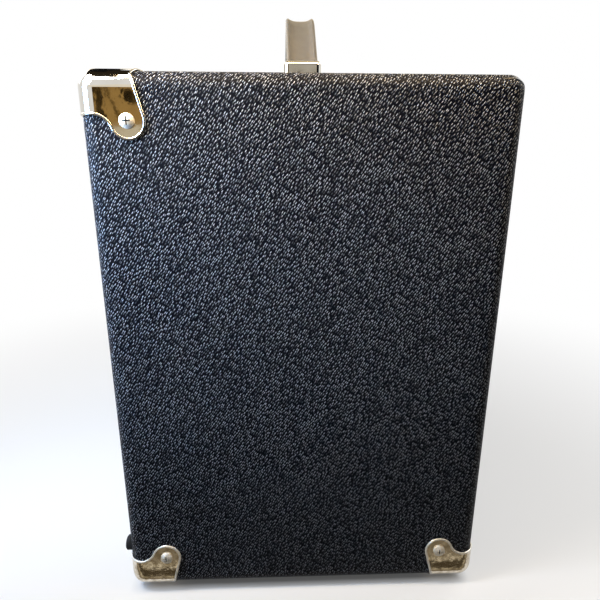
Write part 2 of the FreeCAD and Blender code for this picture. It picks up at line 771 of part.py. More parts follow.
def bush_points():
    """Panel points of every threaded bushing: knobs, buttons and toggle."""
    knobs = [(x, KNOB_Z) for x in KNOB_X]
    buttons = [(x, BUTTON_Z) for x in BUTTON_X]
    return knobs + buttons + [TOGGLE_AT]


def bushing(at):
    """Threaded neck from the panel's back to just past its nut."""
    return post(at, BUSH_R, PANEL_BACK, BUSH_OUT)


def wheel_centre():
    """Thumbwheel's middle along X, and the lower roller's axis height and depth."""
    x = CHART_AT[0] + ROLLER_L / 2 + END_PLAY + PLATE_T + WHEEL_GAP + WHEEL_W / 2
    return x, CHART_AT[1] - ROLLER_PITCH / 2, PANEL_BACK - ROLLER_BACK


def lever_slot(x):
    """Slot that clears a lever's arm at both ends of its swing."""
    swing = math.radians(LEVER_SWING)
    reach = LEVER_PIVOT_BACK + PANEL_T
    half = reach * math.tan(swing) + LEVER_ARM / 2 / math.cos(swing) + SLOT_GAP
    return slab((x, LEVER_Z), LEVER_T + 2 * SLOT_GAP, 2 * half, PANEL_BACK, 0)


def front_panel():
    """Aluminium panel with every opening that its fittings pass through."""
    def hole(at, radius):
        return post(at, radius + HOLE_GAP, PANEL_BACK, 0)
    plate = slab((0, 0), PANEL_W, PANEL_H, PANEL_BACK, 0)
    cuts = [hole(METER_AT, CASE_R), hole(PILOT_AT, PILOT_STEM_R)]
    cuts.append(slab(CHART_AT, WINDOW_W, WINDOW_H, PANEL_BACK, 0))
    cuts += [hole(at, spec[-1]) for spec, at in socket_places()]
    cuts += [hole(at, SMALL_SHANK) for at in socket_screw_points()]
    cuts += [hole(at, PANEL_SHANK) for at in rim_points()]
    cuts += [hole(at, BUSH_R) for at in bush_points()]
    cuts += [lever_slot(x) for x in LEVER_X]
    x, y, z = wheel_centre()
    half = math.sqrt(WHEEL_R ** 2 - ROLLER_BACK ** 2) + SLOT_GAP
    cuts.append(slab((x, y), WHEEL_W + 2 * SLOT_GAP, 2 * half, PANEL_BACK, 0))
    panel_node("front_panel", plate.cut(cuts))


def meter():
    """Moving-coil meter: case, dial, needle, glass and bezel."""
    x, y = METER_AT
    window = (x, y + GLASS_RISE)
    seat = BEZEL_T - GLASS_LIP
    bezel = rounded_slab(METER_AT, BEZEL_W, BEZEL_H, 0, BEZEL_T, BEZEL_ROUND, BEZEL_EDGE)
    pocket = slab(window, GLASS_W, GLASS_H, 0, seat)
    opening = slab(window, GLASS_W - 2 * GLASS_LIP, GLASS_H - 2 * GLASS_LIP, seat, BEZEL_T)
    panel_node("meter_bezel", bezel.cut([pocket, opening]))
    fit_w = GLASS_W - 2 * HOLE_GAP
    fit_h = GLASS_H - 2 * HOLE_GAP
    panel_node("meter_glass", slab(window, fit_w, fit_h, seat - GLASS_T, seat))
    pivot = (x, window[1] - GLASS_H / 2 + GLASS_LIP + PIVOT_RISE)
    dial = slab(window, fit_w, fit_h, 0, DIAL_T)
    panel_node("meter_dial", dial.cut(post(pivot, NEEDLE_PIVOT_R + HOLE_GAP, 0, DIAL_T)))

    floor = PANEL_BACK - CASE_DEPTH
    case = post(METER_AT, CASE_R, floor, 0).cut(post(METER_AT, CASE_R - CASE_WALL, floor + CASE_WALL, 0))
    movement = slab(pivot, MOVEMENT_W, MOVEMENT_H, floor, PANEL_BACK)
    bore = post(pivot, NEEDLE_PIVOT_R + RUN_GAP, -NEEDLE_PIVOT_IN - END_PLAY, PANEL_BACK)
    panel_node("meter_case", case.fuse(movement).cut(bore).removeSplitter())

    half = NEEDLE_W / 2
    tip = NEEDLE_T / 2
    outline = [(-half, -NEEDLE_TAIL), (half, -NEEDLE_TAIL), (tip, NEEDLE_LEN), (-tip, NEEDLE_LEN)]
    points = [Vec(px, py, NEEDLE_OUT) for px, py in outline]
    blade = Part.Face(Part.makePolygon(points + points[:1])).extrude(Vec(0, 0, NEEDLE_T))
    weight = post((0, -NEEDLE_TAIL), 2 * half, NEEDLE_OUT, NEEDLE_OUT + NEEDLE_T)
    hub = post((0, 0), NEEDLE_HUB_R, NEEDLE_OUT - NEEDLE_T, NEEDLE_OUT + 2 * NEEDLE_T)
    needle = blade.fuse([weight, hub, post((0, 0), NEEDLE_PIVOT_R, -NEEDLE_PIVOT_IN, NEEDLE_OUT)])
    needle = needle.removeSplitter()
    needle.rotate(Vec(0, 0, 0), AXES[2], NEEDLE_REST)
    needle.translate(Vec(pivot[0], pivot[1], 0))
    panel_node("meter_needle", needle)


def along_x(x0, x1, radius, y, z):
    """Round bar along X in the panel frame."""
    return Part.makeCylinder(radius, x1 - x0, Vec(x0, y, z), AXES[0])


def chart():
    """Roll chart: frame and window before the panel, two rollers in side brackets behind it."""
    x, y = CHART_AT
    frame = rounded_slab(CHART_AT, CHART_W, CHART_H, 0, CHART_T, CHART_ROUND, CHART_EDGE)
    pocket_w = WINDOW_W + 2 * WINDOW_LIP
    pocket_h = WINDOW_H + 2 * WINDOW_LIP
    cuts = [slab(CHART_AT, pocket_w, pocket_h, 0, WINDOW_T)]
    cuts.append(slab(CHART_AT, WINDOW_W, WINDOW_H, WINDOW_T, CHART_T))
    panel_node("chart_frame", frame.cut(cuts))
    panel_node("chart_window", slab(CHART_AT, pocket_w - 2 * HOLE_GAP, pocket_h - 2 * HOLE_GAP, 0, WINDOW_T))

    wheel_x, low_y, axis_z = wheel_centre()
    high_y = y + ROLLER_PITCH / 2
    face = axis_z + ROLLER_R + PAPER_GAP
    panel_node("chart_paper", slab(CHART_AT, ROLLER_L, ROLLER_PITCH, face, face + PAPER_T))

    half = ROLLER_L / 2 + END_PLAY
    plates = []
    for s in (-1, 1):
        inner, outer = sorted((x + s * half, x + s * (half + PLATE_T)))
        plate = box(inner, outer, low_y - ROLLER_R, high_y + ROLLER_R, PANEL_BACK - PLATE_DEPTH, PANEL_BACK)
        foot_in, foot_out = sorted((x + s * half, x + s * (half + PLATE_FLANGE)))
        foot = box(foot_in, foot_out, y - ROLLER_R, y + ROLLER_R, PANEL_BACK - PLATE_T, PANEL_BACK)
        holes = [along_x(inner, outer, ROLLER_SHAFT_R + RUN_GAP, at, axis_z) for at in (low_y, high_y)]
        plates.append(plate.fuse(foot).cut(holes).removeSplitter())
    panel_node("chart_brackets", plates)

    stub = half + PLATE_T + SHAFT_STUB
    wheel_end = wheel_x + WHEEL_W / 2
    for name, at, end in (("upper", high_y, x + stub), ("lower", low_y, wheel_end + SHAFT_STUB)):
        drum = along_x(x - ROLLER_L / 2, x + ROLLER_L / 2, ROLLER_R, at, axis_z)
        shaft = along_x(x - stub, end, ROLLER_SHAFT_R, at, axis_z)
        panel_node("chart_roller_" + name, drum.fuse(shaft).removeSplitter())

    wheel = along_x(wheel_end - WHEEL_W, wheel_end, WHEEL_R, low_y, axis_z)
    cuts = [along_x(wheel_end - WHEEL_W, wheel_end, ROLLER_SHAFT_R + RUN_GAP, low_y, axis_z)]
    for i in range(WHEEL_TEETH):
        turn = 2 * math.pi * i / WHEEL_TEETH
        ty = low_y + WHEEL_R * math.cos(turn)
        tz = axis_z + WHEEL_R * math.sin(turn)
        cuts.append(along_x(wheel_end - WHEEL_W, wheel_end, WHEEL_GROOVE_R, ty, tz))
    panel_node("chart_thumbwheel", wheel.cut(cuts))


def sockets():
    """Tube sockets: eared flange on the panel, body behind it, pin and spigot holes."""
    for spec, at in socket_places():
        name, pins, circle_r, pin_r, spigot_r, body_r = spec
        x, y = at
        reach = ear_reach(body_r)
        top = SOCKET_FLANGE_T
        ears = [post((x + s * reach, y), EAR_R, 0, top) for s in (-1, 1)]
        bar = slab(at, 2 * reach, 2 * EAR_R, 0, top)
        solid = post(at, body_r + SOCKET_RIM, 0, top)
        solid = solid.fuse(ears + [bar, post(at, body_r, PANEL_BACK - SOCKET_DEPTH, top)])
        floor = top - SOCKET_PIN_DEPTH
        gaps = pins + pins % 2
        cuts = [post((x + s * reach, y), SMALL_SHANK + HOLE_GAP, 0, top) for s in (-1, 1)]
        for i in range(pins):
            turn = 2 * math.pi * (i + 0.5) / gaps - math.pi / 2 * (pins % 2)
            spot = (x + circle_r * math.cos(turn), y + circle_r * math.sin(turn))
            cuts.append(post(spot, pin_r, floor, top))
        if spigot_r:
            cuts.append(post(at, spigot_r, floor, top))
        if name == "socket_octal":
            key = (x, y - spigot_r)
            cuts.append(slab(key, SOCKET_KEY, SOCKET_KEY, floor, top))
        panel_node(name, solid.cut(cuts).removeSplitter())


def knobs():
    """Fluted knobs with pointer skirts, their shafts, and the control bodies behind."""
    low = KNOB_STANDOFF
    neck = low + SKIRT_T
    top = low + KNOB_H
    edge = SKIRT_T / 3
    bore = SHAFT_R + RUN_GAP
    deep = low + SHAFT_IN_KNOB
    body = ((SKIRT_R, low), (SKIRT_R, neck - edge), (SKIRT_R - edge, neck), (KNOB_R, neck))
    rim = ((KNOB_TOP_R, top - edge), (KNOB_TOP_R - edge, top), (0, top), (0, deep), (bore, deep), (bore, low))
    knob = turned(body + rim)
    flutes = []
    for i in range(KNOB_FLUTES):
        turn = 2 * math.pi * (i + 0.5) / KNOB_FLUTES
        spot = (KNOB_R * math.cos(turn), KNOB_R * math.sin(turn))
        flutes.append(post(spot, FLUTE_R, neck + edge, top + edge))
    pointer = box(-POINTER_W / 2, POINTER_W / 2, KNOB_R - edge, SKIRT_R - edge, neck - edge, neck + POINTER_T)
    knob = knob.cut(flutes).fuse(pointer).removeSplitter()
    floor = PANEL_BACK - POT_DEPTH + CAN_WALL
    bodies = []
    for name, x in zip(KNOB_NAMES, KNOB_X):
        at = (x, KNOB_Z)
        turned_knob = knob.copy()
        turned_knob.translate(Vec(x, KNOB_Z, 0))
        panel_node("knob_" + name, turned_knob)
        panel_node("shaft_" + name, post(at, SHAFT_R, floor + END_PLAY, deep - END_PLAY))
        can = post(at, POT_R, PANEL_BACK - POT_DEPTH, PANEL_BACK).fuse(bushing(at))
        bodies.append(can.cut(post(at, bore, floor, BUSH_OUT)).removeSplitter())
    panel_node("control_bodies", bodies)


def nuts():
    """Hexagon nuts on the bushings, against the panel's face."""
    across = NUT_FLATS / math.sqrt(3)
    solids = []
    for at in bush_points():
        turns = [i * math.pi / 3 for i in range(7)]
        points = [Vec(at[0] + across * math.cos(a), at[1] + across * math.sin(a), 0) for a in turns]
        nut = Part.Face(Part.makePolygon(points)).extrude(Vec(0, 0, NUT_T))
        solids.append(nut.cut(post(at, BUSH_R + PILOT_GAP, 0, NUT_T)))
    panel_node("bushing_nuts", solids)


def levers():
    """Test levers on one pivot rod, in a bank of contact blocks behind the panel."""
    y = LEVER_Z
    axis_z = PANEL_BACK - LEVER_PIVOT_BACK
    half_t = LEVER_T / 2
    half_arm = LEVER_ARM / 2
    half_tail = LEVER_ARM / 3
    for i, x in enumerate(LEVER_X):
        hub = along_x(x - half_t, x + half_t, LEVER_HUB_R, y, axis_z)
        arm = box(x - half_t, x + half_t, y - half_arm, y + half_arm, axis_z, PADDLE_CLEAR + PADDLE_ROUND)
        tail = box(x - half_t, x + half_t, y - half_tail, y + half_tail, axis_z - LEVER_TAIL, axis_z)
        paddle = slab((x, y), PADDLE_W, PADDLE_H, PADDLE_CLEAR, PADDLE_CLEAR + PADDLE_L)
        paddle = paddle.makeFillet(PADDLE_ROUND, paddle.Edges)
        lever = hub.fuse([arm, tail, paddle]).cut(along_x(x - half_t, x + half_t, ROD_R + RUN_GAP, y, axis_z))
        panel_node("test_lever_%d" % (i + 1), lever.removeSplitter())

    end = max(LEVER_X) + BANK_END
    low, high = y - BANK_HALF_H, y + BANK_HALF_H
    back_z = PANEL_BACK - BANK_DEPTH
    spine = box(-end, end, low, high, back_z, back_z + BANK_T)
    pieces = []
    for s in (-1, 1):
        x0, x1 = sorted((s * (end - BANK_T), s * end))
        pieces.append(box(x0, x1, low, high, back_z, PANEL_BACK))
        f0, f1 = sorted((s * (end - BANK_T), s * (end + PLATE_FLANGE)))
        pieces.append(box(f0, f1, low, high, PANEL_BACK - BANK_T, PANEL_BACK))
    contact_z = axis_z - math.hypot(LEVER_TAIL, half_tail) - CONTACT_GAP
    half_h = BANK_HALF_H - BANK_T
    for x in LEVER_X:
        pieces.append(slab((x, y), CONTACT_W, 2 * half_h, back_z, contact_z))
    bank = spine.fuse(pieces).cut(along_x(-end, end, ROD_R + PILOT_GAP, y, axis_z))
    panel_node("lever_switch_bank", bank.removeSplitter())
    panel_node("lever_pivot_rod", along_x(-end, end, ROD_R, y, axis_z))


def buttons():
    """Sprung push buttons and the switch bodies that guide their stems."""
    low = BUSH_OUT + BUTTON_TRAVEL + BUTTON_STOP_GAP
    stem_end = PANEL_BACK - STEM_IN
    bodies = []
    for i, x in enumerate(BUTTON_X):
        at = (x, BUTTON_Z)
        cap = post(at, BUTTON_R, low, low + BUTTON_H)
        cap = cap.makeFillet(BUTTON_EDGE, edges_at(cap, AXES[2], low + BUTTON_H))
        panel_node("push_button_%d" % (i + 1), cap.fuse(post(at, STEM_R, stem_end, low)).removeSplitter())
        can = post(at, SWITCH_R, PANEL_BACK - SWITCH_DEPTH, PANEL_BACK).fuse(bushing(at))
        bore = post(at, STEM_R + RUN_GAP, stem_end - BUTTON_TRAVEL - END_PLAY, BUSH_OUT)
        bodies.append(can.cut(bore).removeSplitter())
    panel_node("button_bodies", bodies)


def toggle():
    """Power toggle, standing at off: bat lever on a ball in the neck of its body."""
    pivot_z = PANEL_BACK / 2
    tip = TOGGLE_LEN - TOGGLE_TIP_R
    bat = Part.makeCone(TOGGLE_ROOT_R, TOGGLE_TIP_R, tip)
    tail = Part.makeCylinder(TOGGLE_TAIL_R, TOGGLE_TAIL, Vec(0, 0, -TOGGLE_TAIL))
    lever = Part.makeSphere(TOGGLE_BALL_R).fuse([bat, tail, Part.makeSphere(TOGGLE_TIP_R, Vec(0, 0, tip))])
    lever = lever.removeSplitter()
    lever.rotate(Vec(0, 0, 0), AXES[0], TOGGLE_TILT)
    lever.translate(Vec(TOGGLE_AT[0], TOGGLE_AT[1], pivot_z))
    panel_node("toggle_lever", lever)
    body = slab(TOGGLE_AT, TOGGLE_W, TOGGLE_H, PANEL_BACK - TOGGLE_DEPTH, PANEL_BACK).fuse(bushing(TOGGLE_AT))
    room = post(TOGGLE_AT, TOGGLE_BALL_R + BALL_GAP, pivot_z - TOGGLE_TAIL - BALL_GAP, BUSH_OUT)
    panel_node("toggle_body", body.cut(room).removeSplitter())


def pilot():
    """Pilot lamp: domed lens with its flange and the lamp holder's tube behind."""
    lens = dome(PILOT_R - PILOT_FLANGE / 2, PILOT_DOME)
    lens.translate(Vec(0, 0, PILOT_FLANGE))
    solid = post((0, 0), PILOT_R, 0, PILOT_FLANGE).fuse([lens, post((0, 0), PILOT_STEM_R, -PILOT_DEPTH, 0)])
    solid = solid.removeSplitter()
    solid.translate(Vec(PILOT_AT[0], PILOT_AT[1], 0))
    panel_node("pilot_lens", solid)


def transformer():
    """Mains transformer on the bottom board: three-legged core and the coil on its middle leg."""
    x, y = CORE_AT
    w, t = CORE_W / 2, CORE_T / 2
    z0, z1 = CAVITY_LOW, CAVITY_LOW + CORE_H
    core = box(x - w, x + w, y - t, y + t, z0, z1)
    for s in (-1, 1):
        near, far = sorted((x + s * CORE_LEG, x + s * (w - CORE_LEG)))
        core = core.cut(box(near, far, y - t, y + t, z0 + CORE_LEG, z1 - CORE_LEG))
    export("transformer_core", core)
    wide = w - CORE_LEG - COIL_GAP
    deep = t + COIL_BULGE
    low, high = z0 + CORE_LEG + COIL_GAP, z1 - CORE_LEG - COIL_GAP
    coil = box(x - wide, x + wide, y - deep, y + deep, low, high)
    coil = coil.makeFillet(COIL_ROUND, edges_along(coil, AXES[2]))
    leg = CORE_LEG + COIL_GAP
    gap = t + COIL_GAP
    export("transformer_coil", coil.cut(box(x - leg, x + leg, y - gap, y + gap, low, high)))


def main():
    """Build every piece."""
    os.makedirs("parts", exist_ok=True)
    for build in (cabinet, covering, cleats, back, corners, feet, handle, screws, front_panel, meter, chart,
                  sockets, knobs, nuts, levers, buttons, toggle, pilot, transformer):
        build()


main()
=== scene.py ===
"""Studio scene for a tube tester in a black vinyl-covered cabinet.

Every size is in millimetres in the row frame until a mesh is made; meshes are in metres.
"""
from __future__ import annotations

import json
import logging
import math
from dataclasses import dataclass
from enum import Enum

import bpy
import numpy as np
from mathutils import Matrix, Vector

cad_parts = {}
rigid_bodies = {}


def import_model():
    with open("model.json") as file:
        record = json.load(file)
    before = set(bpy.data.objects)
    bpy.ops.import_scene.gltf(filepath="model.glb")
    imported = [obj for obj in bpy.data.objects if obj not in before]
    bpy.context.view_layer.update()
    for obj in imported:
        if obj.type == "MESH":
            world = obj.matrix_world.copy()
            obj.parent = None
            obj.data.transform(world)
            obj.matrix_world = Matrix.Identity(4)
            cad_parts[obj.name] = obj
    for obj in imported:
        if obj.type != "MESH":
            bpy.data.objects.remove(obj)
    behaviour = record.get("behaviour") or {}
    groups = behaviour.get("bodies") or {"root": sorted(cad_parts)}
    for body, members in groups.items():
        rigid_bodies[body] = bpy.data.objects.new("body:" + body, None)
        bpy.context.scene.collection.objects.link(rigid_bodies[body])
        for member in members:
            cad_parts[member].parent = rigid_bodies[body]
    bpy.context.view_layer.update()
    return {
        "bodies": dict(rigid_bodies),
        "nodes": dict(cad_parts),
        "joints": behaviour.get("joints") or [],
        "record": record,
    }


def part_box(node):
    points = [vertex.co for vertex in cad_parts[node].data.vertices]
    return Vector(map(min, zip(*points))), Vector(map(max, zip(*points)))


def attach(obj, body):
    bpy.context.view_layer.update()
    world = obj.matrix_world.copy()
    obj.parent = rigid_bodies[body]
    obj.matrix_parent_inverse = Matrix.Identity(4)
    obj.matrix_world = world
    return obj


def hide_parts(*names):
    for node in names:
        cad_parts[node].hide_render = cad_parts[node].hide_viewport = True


# A pair, such as a point in a plane or a range, and a triple, such as a point in space
Flat = tuple[float, float]
Place = tuple[float, float, float]

MM = 0.001
LOG = logging.getLogger("tube_tester")
CLOTH_MAP = "cloth"
QUARTER = np.pi / 2
ROUND_STEPS = 48
FORWARD = (0.0, -1.0, 0.0)
UPWARD = (0.0, 0.0, 1.0)
WHITE = (1.0, 1.0, 1.0, 1.0)
# Share of its size to which the last ring of a shell is drawn in, so that it closes
CLOSED = 0.001
# Ends of an open bead: the power of their taper, and the least square of the share that is left
TAPER_POWER = 8
TAPER_LEAST = 0.0004
# Sockets of a Mix node that is set to colour
MIX_SHARE, MIX_FIRST, MIX_SECOND, MIX_MADE = 0, 6, 7, 2


def hex_linear(code: str) -> tuple[float, float, float, float]:
    """Turn an sRGB hex colour into linear RGBA by the sRGB formula.

    Args:
        code: colour such as "#1a2b3c".

    Returns:
        Linear red, green, blue and a full alpha.
    """
    srgb = np.array([int(code[k:k + 2], 16) for k in (1, 3, 5)]) / 255
    linear = np.where(srgb <= 0.04045, srgb / 12.92, ((srgb + 0.055) / 1.055) ** 2.4)
    return (*linear.tolist(), 1.0)


def add(tree: bpy.types.NodeTree, kind: str, inputs: dict | None = None, **settings) -> bpy.types.Node:
    """Add a node with its settings and links.

    Args:
        tree: node tree that takes the node.
        kind: node type.
        inputs: socket name or index to a value or to another node's output.
        settings: attributes set on the node first.

    Returns:
        The new node.
    """
    made = tree.nodes.new(kind)
    for key, value in settings.items():
        setattr(made, key, value)
    for key, value in (inputs or {}).items():
        if isinstance(value, bpy.types.NodeSocket):
            tree.links.new(value, made.inputs[key])
        else:
            made.inputs[key].default_value = value
    return made


def bare_material(name: str) -> tuple[bpy.types.Material, bpy.types.NodeTree]:
    """Make a material with an empty node tree.

    Args:
        name: name of the material.

    Returns:
        The material and its tree.
    """
    made = bpy.data.materials.new(name)
    made.use_nodes = True
    made.node_tree.nodes.clear()
    return made, made.node_tree


def to_the_eye(tree: bpy.types.NodeTree) -> bpy.types.NodeSocket:
    """Tell rays from the camera, from gloss and through glass from all others.

    Args:
        tree: node tree of the floor or of the world.

    Returns:
        Socket that is one for such a ray and zero for the rest.
    """
    ray = add(tree, "ShaderNodeLightPath")
    seen = ray.outputs["Is Camera Ray"]
    for kind in ("Is Glossy Ray", "Is Transmission Ray"):
        seen = add(tree, "ShaderNodeMath", {0: seen, 1: ray.outputs[kind]}, operation="MAXIMUM").outputs[0]
    return seen


def node_box(name: str) -> tuple[np.ndarray, np.ndarray]:
    """Lowest and highest corner of a CAD node, in mm."""
    low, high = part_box(name)
    return np.array(low) / MM, np.array(high) / MM


def unit(vectors: np.ndarray) -> np.ndarray:
    """Vectors of length one along the last axis."""
    return vectors / np.linalg.norm(vectors, axis=-1, keepdims=True)


def full_turn(count: int = ROUND_STEPS) -> np.ndarray:
    """Angles in equal steps round a circle."""
    return np.linspace(0, 2 * np.pi, count, endpoint=False)


def arc_points(centre: Flat, radius: float, start: float, end: float, count: int) -> np.ndarray:
    """Points on an arc in a plane: centre + radius * (cos, sin) of angles in equal steps."""
    turn = np.linspace(start, end, count)
    return np.stack([centre[0] + radius * np.cos(turn), centre[1] + radius * np.sin(turn)], -1)


@dataclass
class Surface:
    """Points in mm with faces of three or four corners.

    Where a pattern follows the surface, each face corner has a UV.
    """

    points: np.ndarray
    faces: np.ndarray
    uv: np.ndarray | None = None

    @classmethod
    def grid(cls, points: np.ndarray, wrap: tuple[bool, bool] = (False, False),
             uv: np.ndarray | None = None) -> Surface:
        """Quads over a grid of points: corner (row, column), next column, next row, and back.

        Args:
            points: array of rows by columns by 3.
            wrap: whether the rows and the columns close on themselves.
            uv: grid of UVs, one row or column longer where that direction closes.

        Returns:
            The surface.
        """
        rows, cols = points.shape[:2]
        i, j = np.meshgrid(np.arange(rows - (not wrap[0])), np.arange(cols - (not wrap[1])), indexing="ij")
        r = np.stack([i, i, i + 1, i + 1], -1).reshape(-1, 4)
        c = np.stack([j, j + 1, j + 1, j], -1).reshape(-1, 4)
        corner_uv = None if uv is None else uv[r, c]
        return cls(points.reshape(-1, 3), (r % rows) * cols + c % cols, corner_uv)

    @classmethod
    def joined(cls, parts: list[Surface]) -> Surface:
        """One surface from several: each part's faces are moved on by the points before it.

        Args:
            parts: surfaces with the same number of corners to a face.

        Returns:
            The surface, without UVs.
        """
        starts = np.cumsum([0] + [len(p.points) for p in parts[:-1]])
        faces = np.concatenate([p.faces + s for p, s in zip(parts, starts)])
        return cls(np.concatenate([p.points for p in parts]), faces)

    def outward(self, along: Place | None = None) -> Surface:
        """Turn all faces over where their areas, summed along the outward direction, come out negative.

        Args:
            along: direction to look in; where none is given, away from the middle of the points.

        Returns:
            The surface as it was, or turned over.
        """
        corner = self.points[self.faces]
        area = np.cross(corner[:, 2] - corner[:, 0], corner[:, -1] - corner[:, 1])
        if self.faces.shape[1] == 3:
            area = np.cross(corner[:, 1] - corner[:, 0], corner[:, 2] - corner[:, 0])
        look = corner.mean(1) - self.points.mean(0) if along is None else np.array(along)
        if (area * look).sum() >= 0:
            return self
        return Surface(self.points, self.faces[:, ::-1], None if self.uv is None else self.uv[:, ::-1])

    def linked(self, name: str, finish: bpy.types.Material, smooth: bool) -> bpy.types.Object:
        """Make the mesh and an object of it in the scene.

        Args:
            name: name of the object.
            finish: material of the object.
            smooth: whether faces shade smoothly.

        Returns:
            The object, at the origin.
        """
        mesh = bpy.data.meshes.new(name)
        mesh.from_pydata((self.points * MM).tolist(), [], self.faces.tolist())
        if self.uv is not None:
            layer = mesh.uv_layers.new(name=CLOTH_MAP)
            layer.data.foreach_set("uv", self.uv.astype(np.float32).ravel())
        mesh.polygons.foreach_set("use_smooth", np.full(len(self.faces), smooth))
        mesh.materials.append(finish)
        made = bpy.data.objects.new(name, mesh)
        bpy.context.scene.collection.objects.link(made)
        return made

    def build(self, name: str, body: str, slot: str, finish: bpy.types.Material, smooth: bool = True,
              stands_for: str | None = None) -> None:
        """Make a piece of the object on the body it rides on.

        Args:
            name: piece name.
            body: CAD body that carries it.
            slot: material slot of the record; not used.
            finish: material of the piece.
            smooth: whether faces shade smoothly.
            stands_for: CAD node that the piece replaces.
        """
        piece = self.linked(name, finish, smooth)
        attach(piece, body)
        if stands_for:
            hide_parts(stands_for)
        LOG.info("piece %s: %d faces on %s", name, len(self.faces), body)

    def stand(self, name: str, finish: bpy.types.Material) -> bpy.types.Object:
        """Make a flat piece of the studio, which is no part of the object.

        Args:
            name: name of the piece.
            finish: material of the piece.

        Returns:
            The piece, at the origin.
        """
        piece = self.linked(name, finish, smooth=False)
        return piece


def tube(path: np.ndarray, normals: np.ndarray, half_width: float, half_height: float, closed: bool,
         around: int = 10) -> Surface:
    """Bead along a path: each section is an ellipse across the path, and an open end shrinks to a point.

    Args:
        path: points in mm, one row each.
        normals: outward direction at each point.
        half_width: half of the section across the path.
        half_height: half of the section along the normal.
        closed: whether the path closes on itself.
        around: points round a section.

    Returns:
        The closed surface, faces outward.
    """
    ahead = np.roll(path, -1, 0) - np.roll(path, 1, 0) if closed else np.gradient(path, axis=0)
    across = unit(np.cross(normals, ahead))
    share = np.linspace(-1, 1, len(path))
    swell = np.ones(len(path)) if closed else np.sqrt(np.clip(1 - share ** TAPER_POWER, TAPER_LEAST, 1))
    turn = full_turn(around)
    wide = across[:, None] * (half_width * np.cos(turn))[None, :, None]
    high = normals[:, None] * (half_height * np.sin(turn))[None, :, None]
    points = path[:, None] + (wide + high) * swell[:, None, None]
    return Surface.grid(points, (closed, True)).outward()


class Figure(Enum):
    """Kind of pattern on a finish."""

    CLOUD = "soft mottling"
    STREAK = "long streaks"
    PEBBLE = "rounded cells"


# Layers of noise in the patterns that are drawn with it
NOISE_DETAIL = {Figure.CLOUD: 3.0, Figure.STREAK: 6.0}


@dataclass(frozen=True)
class Finish:
    """A finish: two colours and two roughnesses that its pattern runs between.

    Object coordinates are divided by the pattern's real size. The stretch is the share of that rate along
    each axis, and the spread is the part of the pattern's range that runs from one colour to the other.
    """

    name: str
    base: str
    other: str
    rough: Flat
    size_mm: float
    figure: Figure = Figure.CLOUD
    stretch: Place = (1.0, 1.0, 1.0)
    spread: Flat = (0.35, 0.65)
    bump_mm: float = 0.0
    metallic: float = 0.0
    coat: float = 0.0
    clear: float = 0.0

    def material(self) -> bpy.types.Material:
        """Build the material: pattern to colour, roughness and bump; the rest is constant on the shader.

        Returns:
            The material.
        """
        made, tree = bare_material(self.name)
        place = add(tree, "ShaderNodeTexCoord")
        rate = tuple(s / (self.size_mm * MM) for s in self.stretch)
        spot = add(tree, "ShaderNodeMapping", {"Vector": place.outputs["Object"], "Scale": rate})
        drawn = {"Vector": spot.outputs[0], "Scale": 1.0}
        if self.figure is Figure.PEBBLE:
            height = add(tree, "ShaderNodeTexVoronoi", drawn, feature="SMOOTH_F1").outputs["Distance"]
        else:
            drawn["Detail"] = NOISE_DETAIL[self.figure]
            height = add(tree, "ShaderNodeTexNoise", drawn).outputs[0]
        shade = add(tree, "ShaderNodeMapRange",
                    {"Value": height, "From Min": self.spread[0], "From Max": self.spread[1]})
        colour = add(tree, "ShaderNodeMix",
                     {MIX_SHARE: shade.outputs[0], MIX_FIRST: hex_linear(self.base),
                      MIX_SECOND: hex_linear(self.other)}, data_type="RGBA")
        rough = add(tree, "ShaderNodeMapRange",
                    {"Value": shade.outputs[0], "To Min": self.rough[0], "To Max": self.rough[1]})
        shader = add(tree, "ShaderNodeBsdfPrincipled",
                     {"Base Color": colour.outputs[MIX_MADE], "Roughness": rough.outputs[0],
                      "Metallic": self.metallic, "Coat Weight": self.coat, "Transmission Weight": self.clear})
        if self.bump_mm:
            bump = add(tree, "ShaderNodeBump", {"Height": height, "Distance": self.bump_mm * MM})
            tree.links.new(bump.outputs[0], shader.inputs["Normal"])
        add(tree, "ShaderNodeOutputMaterial", {"Surface": shader.outputs[0]})
        return made


